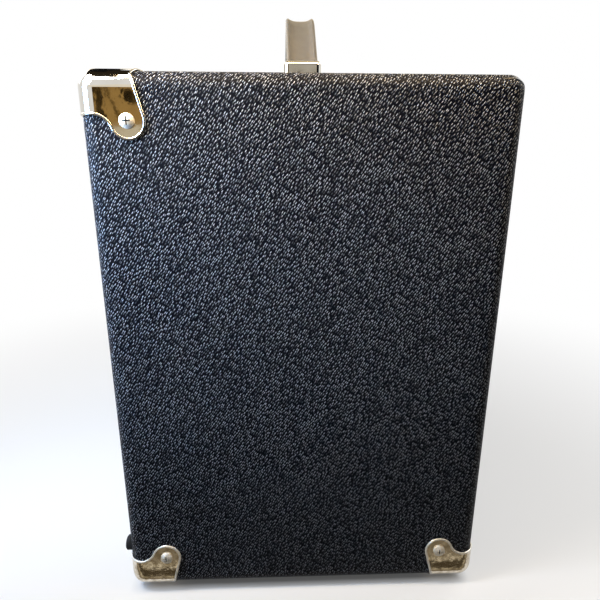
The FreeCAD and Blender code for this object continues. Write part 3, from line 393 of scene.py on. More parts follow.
@dataclass(frozen=True)
class GrainedVinyl:
    """Embossed vinyl cloth: short ridges in leaning rows, navy black in the pits, with painted highlights on
    the crests.

    The rows are spaced along and across a ridge, and the ridge's half length and half width are shares of
    that. They are drawn a little coarser than a real emboss, so that they show in the render.
    """

    name: str = "embossed_black_vinyl"
    valley: str = "#02040c"
    # Pale colour of the crests: a painted highlight standing in for the glints on the grain
    crown: str = "#aaaeb6"
    rough: Flat = (0.5, 0.28)
    row_mm: Flat = (2.15, 1.45)
    ridge_share: Flat = (0.5, 0.21)
    scatter: float = 0.6
    flat_top: float = 0.35
    wear: Flat = (0.08, 1.1)
    wander_mm: float = 14.0
    lean_deg: float = 33.0
    relief_mm: float = 0.3
    gloss: float = 0.06

    def material(self) -> bpy.types.Material:
        """Build the material on the cloth's own map, which is in millimetres.

        Each cell of the rows holds one ridge: the offset from the cell's own point is divided by the
        ridge's half length and half width, and the ridge stands where the length of that is under one.

        Returns:
            The material.
        """
        made, tree = bare_material(self.name)
        cloth = add(tree, "ShaderNodeUVMap", uv_map=CLOTH_MAP)
        lean = add(tree, "ShaderNodeMapping",
                   {"Vector": cloth.outputs[0], "Rotation": (0.0, 0.0, math.radians(self.lean_deg)),
                    "Scale": (*self.row_mm, 1.0)}, vector_type="TEXTURE")
        wander = add(tree, "ShaderNodeTexNoise", {"Vector": cloth.outputs[0], "Scale": 1.0 / self.wander_mm},
                     noise_dimensions="2D")
        bent = add(tree, "ShaderNodeVectorMath", {0: lean.outputs[0], 1: wander.outputs[1]}, operation="ADD")
        cells = add(tree, "ShaderNodeTexVoronoi",
                    {"Vector": bent.outputs[0], "Scale": 1.0, "Randomness": self.scatter},
                    voronoi_dimensions="2D")
        offset = add(tree, "ShaderNodeVectorMath", {0: bent.outputs[0], 1: cells.outputs["Position"]},
                     operation="SUBTRACT")
        share = add(tree, "ShaderNodeVectorMath",
                    {0: offset.outputs[0], 1: (1.0 / self.ridge_share[0], 1.0 / self.ridge_share[1], 0.0)},
                    operation="MULTIPLY")
        away = add(tree, "ShaderNodeVectorMath", {0: share.outputs[0]}, operation="LENGTH")
        ridge = add(tree, "ShaderNodeMapRange",
                    {"Value": away.outputs["Value"], "From Min": 1.0, "From Max": self.flat_top},
                    interpolation_type="SMOOTHSTEP")
        # Each crest takes the pale colour at a random strength from cell to cell, a painted highlight
        own = add(tree, "ShaderNodeSeparateColor", {"Color": cells.outputs["Color"]})
        glint_strength = add(tree, "ShaderNodeMapRange",
                   {"Value": own.outputs[0], "To Min": self.wear[0], "To Max": self.wear[1]})
        bright = add(tree, "ShaderNodeMath", {0: ridge.outputs[0], 1: glint_strength.outputs[0]}, operation="MULTIPLY")
        colour = add(tree, "ShaderNodeMix",
                     {MIX_SHARE: bright.outputs[0], MIX_FIRST: hex_linear(self.valley),
                      MIX_SECOND: hex_linear(self.crown)}, data_type="RGBA")
        rough = add(tree, "ShaderNodeMapRange",
                    {"Value": ridge.outputs[0], "To Min": self.rough[0], "To Max": self.rough[1]})
        bump = add(tree, "ShaderNodeBump", {"Height": ridge.outputs[0], "Distance": self.relief_mm * MM})
        shader = add(tree, "ShaderNodeBsdfPrincipled",
                     {"Base Color": colour.outputs[MIX_MADE], "Roughness": rough.outputs[0],
                      "Normal": bump.outputs[0], "Specular IOR Level": self.gloss})
        add(tree, "ShaderNodeOutputMaterial", {"Surface": shader.outputs[0]})
        return made


# Chrome plate on stamped steel: a mirror with faint haze
CHROME = Finish("chrome_plate", "#dad7d0", "#d2cec5", (0.03, 0.06), 11.0, metallic=1.0, bump_mm=0.05)
# Nickel dulled by handling: warm, softer mirror with brown tarnish in clouds
DULL_NICKEL = Finish("dulled_nickel", "#ddd5c6", "#b0a48e", (0.07, 0.16), 4.0, metallic=1.0, bump_mm=0.2)
# Nickel rim rubbed bright by handling: pale, satin; its pale half-matt colour is partly a painted highlight
RIM_NICKEL_HIGHLIGHT = Finish("nickel_rim_painted_highlight", "#f3efe6", "#e6dfd2", (0.2, 0.32), 6.0, metallic=0.4)
# Vinyl pressed down at the folds: black, its grain ironed to low pebbles
LAP_VINYL = Finish("pressed_black_vinyl", "#0d1015", "#1a1e25", (0.3, 0.42), 2.0, Figure.PEBBLE, bump_mm=0.2)
# Screw heads plated with the corners: pale and satin from the driver; the pale half-matt colour is partly a
# painted highlight
SCREW_NICKEL_HIGHLIGHT = Finish("satin_nickel_screw_painted_highlight", "#f4eee2", "#e2dac9", (0.24, 0.36), 3.0, metallic=0.25)
# Spun aluminium knob caps: satin, with a fine mottle
SPUN = Finish("spun_aluminium", "#c9cac8", "#b3b4b2", (0.22, 0.34), 1.0, metallic=1.0)
# Zinc plated steel: grey, satin
ZINC = Finish("zinc_steel", "#a9aaa8", "#8e8f8c", (0.3, 0.42), 4.0, metallic=1.0)
# Moulded soft vinyl of the strap: dark taupe, glossy from handling
STRAP = Finish("moulded_strap_vinyl", "#585249", "#524c44", (0.3, 0.4), 12.0, bump_mm=0.02, coat=0.15)
# Moulded rubber: nearly black, matt
RUBBER = Finish("moulded_rubber", "#050506", "#0b0b0b", (0.75, 0.9), 3.0, bump_mm=0.05)
# Sanded pine: pale, with long level grain
PINE = Finish("sanded_pine", "#c79a63", "#a97c48", (0.55, 0.7), 5.0, Figure.STREAK, (0.06, 0.06, 1.0),
              bump_mm=0.05)
# Stained hardboard: finely pebbled by the press, nearly black brown
HARDBOARD = Finish("stained_hardboard", "#2b2622", "#1c1815", (0.5, 0.68), 1.4, Figure.PEBBLE, bump_mm=0.12,
                   spread=(0.1, 0.6))
# Satin anodised aluminium: brushed along X
ALUMINIUM = Finish("anodised_aluminium", "#b9bcba", "#a5a8a6", (0.3, 0.42), 1.6, Figure.STREAK,
                   (0.02, 1.0, 1.0), metallic=0.85, bump_mm=0.006)
# Phenolic moulding: black brown, polished, faint flow clouds
PHENOLIC = Finish("phenolic_moulding", "#141110", "#231c18", (0.16, 0.28), 12.0, coat=0.3)
# Window glass: clear, with a trace of haze
GLASS = Finish("window_glass", "#f4f8f7", "#e6efed", (0.0, 0.03), 30.0, clear=1.0)
# Enamelled dial plate: ivory, satin
IVORY = Finish("ivory_enamel", "#efe6cc", "#e6d9b8", (0.35, 0.5), 14.0)
# Black enamel of the needle and printed marks, and painted shade in the screws' recesses
INK_AND_SHADE = Finish("black_enamel_and_painted_shade", "#121212", "#1d1d1d", (0.35, 0.55), 3.0)
# Red enamel for the dial's low arc
RED_INK = Finish("red_enamel", "#a3231a", "#8d1c15", (0.35, 0.55), 3.0)
# Green enamel for the dial's high arc
GREEN_INK = Finish("green_enamel", "#2f6b3c", "#275a33", (0.35, 0.55), 3.0)
# Off-white filling in engraved lines
CREAM_INK = Finish("cream_line_filling", "#e9e2cf", "#dcd3bb", (0.4, 0.6), 3.0)
# Aged paper: cream, faintly foxed in clouds, matt
PAPER = Finish("aged_paper", "#e6d9b3", "#d8c795", (0.75, 0.9), 9.0, bump_mm=0.02)
# Turned hardwood rollers: mid brown, grain along X
HARDWOOD = Finish("turned_hardwood", "#a87b49", "#8c6236", (0.45, 0.6), 3.0, Figure.STREAK, (0.08, 1.0, 1.0))
# Red cellulose push buttons: moulded, glossy
RED_PLASTIC = Finish("red_moulded_plastic", "#a81c16", "#8d1511", (0.16, 0.26), 8.0, coat=0.3)
# Red jewel of the pilot lamp: tinted, lets light through
JEWEL = Finish("red_jewel", "#d3190f", "#b4120b", (0.04, 0.1), 5.0, clear=0.45)
# Varnished laminations: thin steel sheets stacked along Y
CORE = Finish("varnished_laminations", "#3a3a3c", "#1f1f22", (0.4, 0.6), 0.9, Figure.STREAK,
              (0.02, 1.0, 0.02), metallic=0.4, bump_mm=0.1)
# Varnished paper round the coil: amber brown, wrapped
COIL = Finish("varnished_coil_paper", "#8a5a2c", "#6c4220", (0.3, 0.45), 5.0, Figure.STREAK, (0.1, 0.1, 1.0),
              bump_mm=0.08, coat=0.4)

NODE_FINISH: tuple[tuple[Finish, tuple[str, ...]], ...] = (
    (PINE, ("cabinet_top", "cabinet_bottom", "cabinet_left_side", "cabinet_right_side", "cleats")),
    (HARDBOARD, ("back_panel",)),
    (SCREW_NICKEL_HIGHLIGHT, ("corner_screws",)),
    (CHROME, ("corners_top", "handle_caps", "handle_bolts", "meter_bezel", "chart_frame",
              "toggle_lever", "bushing_nuts")),
    (DULL_NICKEL, ("corners_bottom",)),
    (ZINC, ("wood_screws", "panel_screws", "small_screws", "chart_brackets", "lever_pivot_rod",
            "control_bodies", "button_bodies", "shaft_filament", "shaft_bias", "shaft_shunt")),
    (RUBBER, ("bottom_feet", "rear_feet")),
    (ALUMINIUM, ("front_panel",)),
    (PHENOLIC, ("knob_filament", "knob_bias", "knob_shunt", "test_lever_1", "test_lever_2", "test_lever_3",
                "test_lever_4", "socket_four_pin", "socket_six_pin", "socket_octal", "socket_seven_pin",
                "socket_nine_pin", "lever_switch_bank", "meter_case", "mains_inlet", "chart_thumbwheel",
                "toggle_body")),
    (GLASS, ("meter_glass", "chart_window")),
    (IVORY, ("meter_dial",)),
    (INK_AND_SHADE, ("meter_needle",)),
    (PAPER, ("chart_paper",)),
    (HARDWOOD, ("chart_roller_lower", "chart_roller_upper")),
    (RED_PLASTIC, ("push_button_1", "push_button_2")),
    (JEWEL, ("pilot_lens",)),
    (CORE, ("transformer_core",)),
    (COIL, ("transformer_coil",)),
)


@dataclass
class Finishes:
    """Makes each material once and hands it to every piece that takes it."""

    made: dict[str, bpy.types.Material]

    def of(self, finish: Finish | GrainedVinyl) -> bpy.types.Material:
        """Find the material of a finish, which is made on first use.

        Args:
            finish: the finish.

        Returns:
            Its material.
        """
        if finish.name not in self.made:
            self.made[finish.name] = finish.material()
        return self.made[finish.name]

    def dress_nodes(self, nodes: dict[str, bpy.types.Object]) -> None:
        """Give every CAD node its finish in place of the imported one.

        Args:
            nodes: node name to object.
        """
        for finish, names in NODE_FINISH:
            for name in names:
                slots = nodes[name].data.materials
                slots.clear()
                slots.append(self.of(finish))
                LOG.info("node %s: %s", name, finish.name)


@dataclass
class Cabinet:
    """The covered box: its corners in mm, and the radius of its edges."""

    low: np.ndarray
    high: np.ndarray
    edge_r: float = 10.0

    @classmethod
    def from_frame(cls) -> Cabinet:
        """Read the box from the covering's CAD node."""
        return cls(*node_box("vinyl_covering"))

    @property
    def middle(self) -> np.ndarray:
        """Centre of the box."""
        return (self.low + self.high) / 2

    def tip(self, signs: Place) -> np.ndarray:
        """Corner of the sharp box on the sides that the signs of X, Y and Z give."""
        return np.where(np.array(signs) > 0, self.high, self.low)

    def on_box(self, points: np.ndarray, grow: float = 0.0) -> tuple[np.ndarray, np.ndarray]:
        """Carry points of the sharp box to its rounded skin.

        Each point is clamped to the core, which is the box less its edge radius; the step back out along
        the same direction is the radius plus the growth.

        Args:
            points: points on the faces and edges of the sharp box.
            grow: height above the skin in mm.

        Returns:
            The points on the skin and the outward directions there.
        """
        core = np.clip(points, self.low + self.edge_r, self.high - self.edge_r)
        out = unit(points - core)
        return core + out * (self.edge_r + grow), out


@dataclass
class Covering:
    """Vinyl cloth glued round the boards, turned in at the front recess and at the back."""

    cabinet: Cabinet
    wall: float = 19.0
    turn_r: float = 1.5
    inner_r: float = 1.0
    steps: int = 12
    lap_half: float = 1.1
    lap_rise: float = 0.3
    lap_reach: float = 16.0
    mitre_steps: int = 24
    reach_steps: int = 16

    def profile(self) -> np.ndarray:
        """Section of the cloth: from the recess round the front edge, along, round the rear edge and in.

        Returns:
            Inset from the box's faces and depth along Y of each point.
        """
        low, high = self.cabinet.low[1], self.cabinet.high[1]
        panel = node_box("front_panel")[1][1]
        back = node_box("back_panel")[0][1]
        r, t, wall = self.cabinet.edge_r, self.turn_r, self.wall
        runs = [
            np.array([[wall, panel]]),
            arc_points((wall - t, low + t), t, 0, -QUARTER, self.steps),
            arc_points((r, low + r), r, -QUARTER, -2 * QUARTER, self.steps),
            arc_points((r, high - r), r, 2 * QUARTER, QUARTER, self.steps),
            arc_points((wall - t, high - t), t, QUARTER, 0, self.steps),
            np.array([[wall, back]]),
        ]
        return np.concatenate(runs)

    def ring(self, inset: np.ndarray) -> np.ndarray:
        """Rounded rectangles in X and Z: each corner's centre plus its radius along turns of a quarter.

        Args:
            inset: distance of each ring inside the box's faces.

        Returns:
            Points, rings by columns by 2.
        """
        size = (self.cabinet.high - self.cabinet.low)[[0, 2]] / 2
        middle = self.cabinet.middle[[0, 2]]
        radius = np.maximum(self.cabinet.edge_r - inset, self.inner_r)[:, None]
        turn = np.linspace(0, QUARTER, self.steps)
        corner = np.arange(4) * QUARTER
        angle = (corner[:, None] + turn[None]).ravel()[None]
        side = np.repeat(np.array([[1, 1], [-1, 1], [-1, -1], [1, -1]]), self.steps, axis=0)
        reach = size[None] - inset[:, None] - radius
        x = middle[0] + side[None, :, 0] * reach[:, :1] + radius * np.cos(angle)
        z = middle[1] + side[None, :, 1] * reach[:, 1:] + radius * np.sin(angle)
        return np.stack([x, z], -1)

    def skin(self) -> Surface:
        """The cloth: the profile's insets give the rings and its depths carry them along Y.

        The map runs in mm: round the outermost ring, and along the profile.

        Returns:
            The surface with its map.
        """
        profile = self.profile()
        rings = self.ring(profile[:, 0])
        depth = np.broadcast_to(profile[:, 1][:, None], rings.shape[:2])
        points = np.stack([rings[..., 0], depth, rings[..., 1]], -1)
        outer = self.ring(np.zeros(1))[0]
        step = np.linalg.norm(np.diff(outer, axis=0, append=outer[:1]), axis=1)
        round_mm = np.concatenate([[0], np.cumsum(step)])
        along_mm = np.concatenate([[0], np.cumsum(np.linalg.norm(np.diff(profile, axis=0), axis=1))])
        uv = np.stack(np.meshgrid(round_mm, along_mm), -1)
        return Surface.grid(points, (False, True), uv).outward()

    def lap(self, side: float, rise: float) -> Surface:
        """Mitred fold at a front corner: from the recess over the corner to the long edge, as a low bead.

        Args:
            side: sign of X.
            rise: sign of Z.

        Returns:
            The bead.
        """
        tip = self.cabinet.tip((side, -1.0, rise))
        inward = np.array([-side, 0.0, -rise]) * (self.wall - self.turn_r)
        rim = tip + inward * np.linspace(1, 0, self.mitre_steps)[:, None]
        edge = tip + np.array([0.0, self.lap_reach, 0.0]) * np.linspace(0, 1, self.reach_steps)[1:, None]
        path, out = self.cabinet.on_box(np.concatenate([rim, edge]))
        return tube(path, out, self.lap_half, self.lap_rise, closed=False)

    def build(self, finishes: Finishes) -> None:
        """Make the cloth and its folds.

        Args:
            finishes: where materials come from.
        """
        vinyl = finishes.of(GrainedVinyl())
        self.skin().build("vinyl_cloth", "cabinet", "vinyl", vinyl, stands_for="vinyl_covering")
        laps = Surface.joined([self.lap(s, h) for s in (-1.0, 1.0) for h in (-1.0, 1.0)])
        laps.build("vinyl_corner_folds", "cabinet", "vinyl", finishes.of(LAP_VINYL))


@dataclass
class CornerRims:
    """Rolled edges of the stamped corner protectors, which follow the ears' outline over three faces."""

    cabinet: Cabinet
    plate_t: float = 1.0
    cut: float = 23.2
    foot: float = 29.5
    lobe_at: float = 27.0
    lobe_r: float = 9.3
    scoop_r: float = 11.0
    half_width: float = 0.8
    half_height: float = 0.6
    sink: float = 0.35
    recess_arm: float = 2.25
    recess_w: float = 0.9
    recess_rise: float = 1.3
    line_steps: int = 16
    lobe_steps: int = 40
    scoop_steps: int = 24
    cut_steps: int = 14
    run_steps: int = 10
    bend_steps: int = 16
    bead_steps: int = 12

    def ear(self) -> np.ndarray:
        """Outline of one ear from its foot to the end edge: line, lobe arc, scoop arc and cut.

        Returns:
            Distances from the end edge and from the long edge.
        """
        scoop_v = self.cut + self.scoop_r
        reach = self.lobe_r + self.scoop_r
        scoop_u = self.lobe_at - math.sqrt(reach ** 2 - (scoop_v - self.lobe_at) ** 2)
        span = math.hypot(self.foot - self.lobe_at, self.lobe_at)
        leave = math.atan2(-self.lobe_at, self.foot - self.lobe_at) + math.acos(self.lobe_r / span)
        join = math.atan2(scoop_v - self.lobe_at, scoop_u - self.lobe_at)
        lobe = arc_points((self.lobe_at, self.lobe_at), self.lobe_r, leave, join, self.lobe_steps)
        scoop = arc_points((scoop_u, scoop_v), self.scoop_r, join - math.pi, -QUARTER, self.scoop_steps)
        line = np.linspace((self.foot, 0.0), lobe[0], self.line_steps, endpoint=False)
        cut = np.linspace((scoop_u, self.cut), (0.0, self.cut), self.cut_steps)[1:]
        return np.concatenate([line, lobe, scoop[1:], cut])

    def loop(self) -> np.ndarray:
        """Closed outline at the upper rear right corner: over the side, the rear and the top.

        Returns:
            Distances in from the side, the rear and the top.
        """
        ear = self.ear()
        nil = np.zeros(len(ear))
        side = np.stack([nil, ear[:, 0], ear[:, 1]], -1)
        top = np.stack([ear[:, 1], ear[:, 0], nil], -1)[::-1]
        half = self.cut / 2
        bend = arc_points((half, half), half, QUARTER, 0, self.bend_steps)
        run = np.linspace(0.0, half, self.run_steps, endpoint=False)[1:]
        rear_side = np.stack([run, run * 0, run * 0 + self.cut], -1)
        rear_bend = np.stack([bend[:, 0], bend[:, 0] * 0, bend[:, 1]], -1)
        rear_top = rear_side[::-1][:, ::-1]
        return np.concatenate([side, rear_side, rear_bend, rear_top, top[:-1]])

    def rim(self, signs: Place) -> Surface:
        """Rolled edge at one corner: the outline set in from that corner and carried to the rounded skin.

        Args:
            signs: corner, as signs of X, Y and Z.

        Returns:
            The bead.
        """
        outline = self.cabinet.tip(signs) - np.array(signs) * self.loop()
        path, out = self.cabinet.on_box(outline, self.plate_t - self.sink)
        return tube(path, out, self.half_width, self.half_height, closed=True, around=self.bead_steps)

    def recess(self, signs: Place, axis: int, bar: int) -> Surface:
        """One bar of the dark cross at the floor of a screw's recess, painted shade: a flat strip square to
        the screw.

        Args:
            signs: corner, as signs of X, Y and Z.
            axis: 0 for the screw in the side, 2 for the one in the top or bottom.
            bar: 0 for the bar along Y, 1 for the bar across it.

        Returns:
            The strip, facing out of the screw.
        """
        out = np.eye(3)[axis] * signs[axis]
        middle = self.cabinet.tip(signs) - np.array(signs) * self.lobe_at
        middle = middle + out * (self.lobe_at + self.plate_t + self.recess_rise)
        along, across = (np.eye(3)[1], np.eye(3)[2 - axis])[::1 if bar == 0 else -1]
        u, v = np.meshgrid((-self.recess_arm, self.recess_arm), (-self.recess_w / 2, self.recess_w / 2))
        points = middle + u[..., None] * along + v[..., None] * across
        return Surface.grid(points).outward(tuple(out))

    def build(self, finishes: Finishes) -> None:
        """Make the rims of the upper rear corners and of the four lower corners, and the painted shade in the
        screws' cross slots.

        Args:
            finishes: where materials come from.
        """
        upper = Surface.joined([self.rim((s, 1, 1)) for s in (-1, 1)])
        upper.build("corner_rims_top", "cabinet", "chrome", finishes.of(CHROME))
        # The lower rims are pale half-matt nickel, partly a painted highlight along the rolled edge
        lower = Surface.joined([self.rim((s, d, -1)) for s in (-1, 1) for d in (-1, 1)])
        lower.build("corner_rims_bottom", "cabinet", "chrome", finishes.of(RIM_NICKEL_HIGHLIGHT))
        places = [(s, d, h) for s in (-1, 1) for d in (-1, 1) for h in (-1, 1) if h < 0 or d > 0]
        # Dark strips at the floors of the screws' recesses: painted shade
        shade = [self.recess(signs, axis, bar) for signs in places for axis in (0, 2) for bar in (0, 1)]
        painted_shade_crosses = Surface.joined(shade)
        painted_shade_crosses.build("screw_recess_shade", "cabinet", "needle", finishes.of(INK_AND_SHADE), smooth=False)


@dataclass
class StrapHandle:
    """Moulded strap: a dished top between two rounded rims, risen from its two end caps.

    A foot's profile is height and share of its half sizes.
    """

    cabinet: Cabinet
    post_x: float = 119.0
    rise: float = 56.0
    post: float = 9.0
    slope_deg: float = 42.0
    low_r: float = 10.0
    high_r: float = 40.0
    half_w: float = 10.3
    half_t: float = 2.5
    rim_w: float = 3.4
    rim_h: float = 1.2
    dish: float = 0.7
    dish_power: float = 3.2
    under_r: float = 1.3
    dish_steps: int = 33
    rim_steps: int = 8
    under_steps: int = 6
    post_steps: int = 6
    bend_steps: int = 14
    slope_steps: int = 12
    crown_steps: int = 20
    level_steps: int = 10
    foot_half: Flat = (5.0, 9.3)
    foot_power: float = 0.25
    foot_profile: tuple[Flat, ...] = ((0.0, CLOSED), (0.0, 0.96), (0.6, 1.0), (4.0, 1.0), (7.9, 1.0),
                                      (8.5, 0.95), (8.5, CLOSED))

    def section(self) -> np.ndarray:
        """Closed section: dish that climbs to each rim by a power, rounded rims, sides and under edge.

        Returns:
            Distance across the strap and outward of each point.
        """
        r, u = self.rim_w / 2, self.under_r
        crest = self.half_w - r
        peak = self.half_t + self.rim_h
        across = np.linspace(-crest, crest, self.dish_steps)
        climb = (np.abs(across) / crest) ** self.dish_power
        top = np.stack([across, self.half_t - self.dish + (self.rim_h + self.dish) * climb], -1)
        right = arc_points((crest, peak - r), r, QUARTER, 0, self.rim_steps)[1:]
        under = arc_points((self.half_w - u, u - self.half_t), u, 0, -QUARTER, self.under_steps)
        half = np.concatenate([right, under])
        return np.concatenate([top, half, (half * (-1, 1))[::-1]])

    def line(self) -> tuple[np.ndarray, np.ndarray]:
        """Middle line in X and Z: post, bend, slope, wide bend, level, and the same mirrored.

        Returns:
            The points and their outward directions.
        """
        base = self.cabinet.high[2]
        slope_turn = math.radians(self.slope_deg)
        turn = QUARTER - slope_turn
        wider = self.high_r - self.low_r
        low = (self.post_x - self.low_r, base + self.post)
        climb = self.rise - self.post - self.high_r + wider * math.sin(turn)
        crown_x = low[0] - climb / math.tan(slope_turn) - wider * math.cos(turn)
        high = (crown_x, base + self.rise - self.high_r)
        angles = np.concatenate([np.zeros(self.post_steps), np.linspace(0, turn, self.bend_steps),
                                 np.full(self.slope_steps, turn),
                                 np.linspace(turn, QUARTER, self.crown_steps),
                                 np.full(self.level_steps, QUARTER)])
        foot = (self.post_x, base)
        post = np.linspace(foot, (self.post_x, base + self.post), self.post_steps, endpoint=False)
        bend = arc_points(low, self.low_r, 0, turn, self.bend_steps)
        wide = arc_points(high, self.high_r, turn, QUARTER, self.crown_steps)
        slope = np.linspace(bend[-1], wide[0], self.slope_steps + 2)[1:-1]
        level = np.linspace(wide[-1], (0.0, wide[-1][1]), self.level_steps + 1)[1:]
        half = np.concatenate([post, bend, slope, wide, level])
        out = np.stack([np.cos(angles), np.sin(angles)], -1)
        mirror = np.array([-1.0, 1.0])
        return np.concatenate([half, (half * mirror)[-2::-1]]), np.concatenate([out, (out * mirror)[-2::-1]])

    def strap(self) -> Surface:
        """The section carried along the line, closed at both feet by a last ring drawn to its middle.

        Returns:
            The closed surface.
        """
        line, out = self.line()
        section = self.section()
        y = self.cabinet.middle[1] + section[:, 0]
        plane = line[:, None] + out[:, None] * section[None, :, 1, None]
        points = np.stack([plane[..., 0], np.broadcast_to(y, plane.shape[:2]), plane[..., 1]], -1)
        ends = [points[k].mean(0) + (points[k] - points[k].mean(0)) * CLOSED for k in (0, -1)]
        points = np.concatenate([ends[0][None], points, ends[1][None]])
        return Surface.grid(points, (False, True)).outward()

    def foot(self, side: float) -> Surface:
        """Moulded block inside a cap: stacked superellipse rings that close at the top and the bottom.

        Args:
            side: sign of X.

        Returns:
            The closed surface.
        """
        turn = full_turn()
        level, share = np.array(self.foot_profile).T[..., None]
        round_x = np.sign(np.cos(turn)) * np.abs(np.cos(turn)) ** self.foot_power
        round_y = np.sign(np.sin(turn)) * np.abs(np.sin(turn)) ** self.foot_power
        x = side * self.post_x + self.foot_half[0] * share * round_x
        y = self.cabinet.middle[1] + self.foot_half[1] * share * round_y
        z = np.broadcast_to(self.cabinet.high[2] + level, x.shape)
        return Surface.grid(np.stack([x, y, z], -1), (False, True)).outward()

    def build(self, finishes: Finishes) -> None:
        """Make the strap with its feet.

        Args:
            finishes: where materials come from.
        """
        whole = Surface.joined([self.strap(), self.foot(-1.0), self.foot(1.0)])
        whole.build("moulded_strap", "cabinet", "strap", finishes.of(STRAP), stands_for="handle_strap")


def lettering(text: str, size: float, at: Flat) -> Surface:
    """Plain letters or numbers as flat triangles in the panel frame, centred on a point.

    Args:
        text: what is printed.
        size: letter size in mm.
        at: middle of the text, right and up.

    Returns:
        The letters.
    """
    curve = bpy.data.curves.new("letters", "FONT")
    curve.body = text
    curve.size = size
    curve.align_x, curve.align_y = "CENTER", "CENTER"
    holder = bpy.data.objects.new("letters", curve)
    bpy.context.scene.collection.objects.link(holder)
    flat = bpy.data.meshes.new_from_object(holder)
    flat.calc_loop_triangles()
    points = np.empty(len(flat.vertices) * 3, np.float32)
    faces = np.empty(len(flat.loop_triangles) * 3, np.int32)
    flat.vertices.foreach_get("co", points)
    flat.loop_triangles.foreach_get("vertices", faces)
    bpy.data.objects.remove(holder)
    bpy.data.curves.remove(curve)
    bpy.data.meshes.remove(flat)
    spot = points.reshape(-1, 3).astype(float) * (1, 1, 0) + (at[0], at[1], 0.0)
    return Surface(spot, faces.reshape(-1, 3))


def stroke(path: np.ndarray, width: float) -> Surface:
    """Flat line in the panel frame: each point of the path is spread along the normal of its run.

    Args:
        path: points right and up, one row each.
        width: width of the line.

    Returns:
        The line as triangles.
    """
    ahead = unit(np.gradient(path, axis=0))
    normal = np.stack([-ahead[:, 1], ahead[:, 0]], -1) * width / 2
    sides = np.stack([path - normal, path + normal], 1)
    quads = Surface.grid(np.concatenate([sides, np.zeros_like(sides[..., :1])], -1))
    split = np.concatenate([quads.faces[:, [0, 1, 2]], quads.faces[:, [0, 2, 3]]])
    return Surface(quads.points, split)


def rule(start: Flat, end: Flat, width: float) -> Surface:
    """Straight flat line between two panel points, through the one half way."""
    return stroke(np.linspace(start, end, 3), width)


def bearing(middle: Flat, radius: float, degrees: float) -> Flat:
    """Panel point at a radius and a clockwise angle from straight up."""
    turn = math.radians(degrees)
    return middle[0] + radius * math.sin(turn), middle[1] + radius * math.cos(turn)


def band(middle: Flat, radius: float, start: float, end: float, width: float) -> Surface:
    """Flat arc between two clockwise angles in degrees from straight up."""
    first, last = QUARTER - np.radians((start, end))
    return stroke(arc_points(middle, radius, first, last, ROUND_STEPS), width)


@dataclass
class PanelFace:
    """The panel's plane: panel points are right and up from its middle, and out of its face."""

    face_y: float
    mid_z: float
    lift: float = 0.06

    @classmethod
    def from_frame(cls) -> PanelFace:
        """Read where the panel's face is."""
        low, high = node_box("front_panel")
        return cls(low[1], (low[2] + high[2]) / 2)

    def above(self, node: str) -> float:
        """Height out of the face at which a print lies on the front of a CAD node."""
        return self.face_y - node_box(node)[0][1] + self.lift

    def placed(self, flats: list[Surface], out: float) -> Surface:
        """Join flat prints and carry them from the panel frame to the row frame.

        Args:
            flats: prints in the panel frame.
            out: height above the face.

        Returns:
            The prints, facing forward.
        """
        flat = Surface.joined(flats)
        x, z = flat.points[:, 0], self.mid_z + flat.points[:, 1]
        points = np.stack([x, np.full_like(x, self.face_y - out), z], -1)
        return Surface(points, flat.faces).outward(FORWARD)

    def turned(self, at: Flat, profile: tuple[Flat, ...]) -> Surface:
        """Profile turned about an axis square to the panel.

        Args:
            at: panel point of the axis.
            profile: radius and height out of the panel.

        Returns:
            The turned surface, facing forward.
        """
        ring = np.array(profile)
        turn = full_turn()
        x = at[0] + ring[:, :1] * np.cos(turn)
        z = self.mid_z + at[1] + ring[:, :1] * np.sin(turn)
        y = np.broadcast_to(self.face_y - ring[:, 1:], x.shape)
        return Surface.grid(np.stack([x, y, z], -1), (False, True)).outward(FORWARD)


@dataclass
class Knobs:
    """Scales printed round the knobs, the filled line on each skirt and the spun caps."""

    face: PanelFace
    places: tuple[tuple[str, float], ...] = (("filament", -100.0), ("bias", 0.0), ("shunt", 100.0))
    up: float = -112.0
    sweep: float = 150.0
    divisions: int = 20
    scale_r: float = 24.6
    short_r: float = 26.6
    long_r: float = 28.4
    number_r: float = 31.4
    number_size: float = 3.9
    arc_w: float = 0.35
    mark_w: float = 0.5
    skirt: float = 7.0
    line_r: Flat = (13.4, 20.8)
    line_w: float = 1.3
    cap: tuple[Flat, ...] = ((9.6, 21.1), (9.5, 21.6), (9.1, 21.9), (8.6, 21.8), (7.6, 21.45), (4.0, 21.3),
                             (0.01, 21.28))

    def scales(self) -> list[Surface]:
        """Arc, divisions and numbers round each knob; every other division is long and has a number.

        Returns:
            Flat prints in the panel frame.
        """
        marks = []
        for _, x in self.places:
            at = (x, self.up)
            marks.append(band(at, self.scale_r, -self.sweep, self.sweep, self.arc_w))
            for step in range(self.divisions + 1):
                angle = self.sweep * (2 * step / self.divisions - 1)
                reach = self.short_r if step % 2 else self.long_r
                ends = [bearing(at, radius, angle) for radius in (self.scale_r, reach)]
                marks.append(rule(*ends, self.mark_w))
                if step % 2 == 0:
                    spot = bearing(at, self.number_r, angle)
                    marks.append(lettering(str(step // 2), self.number_size, spot))
        return marks

    def build(self, finishes: Finishes) -> None:
        """Make the line and the cap of each knob.

        Args:
            finishes: where materials come from.
        """
        for name, x in self.places:
            at = (x, self.up)
            ends = [bearing(at, radius, 0) for radius in self.line_r]
            line = self.face.placed([rule(*ends, self.line_w)], self.skirt + self.face.lift)
            cream = finishes.of(CREAM_INK)
            line.build(f"knob_line_{name}", f"{name}_control", "dial", cream, smooth=False)
            cap = self.face.turned(at, self.cap)
            cap.build(f"knob_cap_{name}", f"{name}_control", "steel", finishes.of(SPUN))


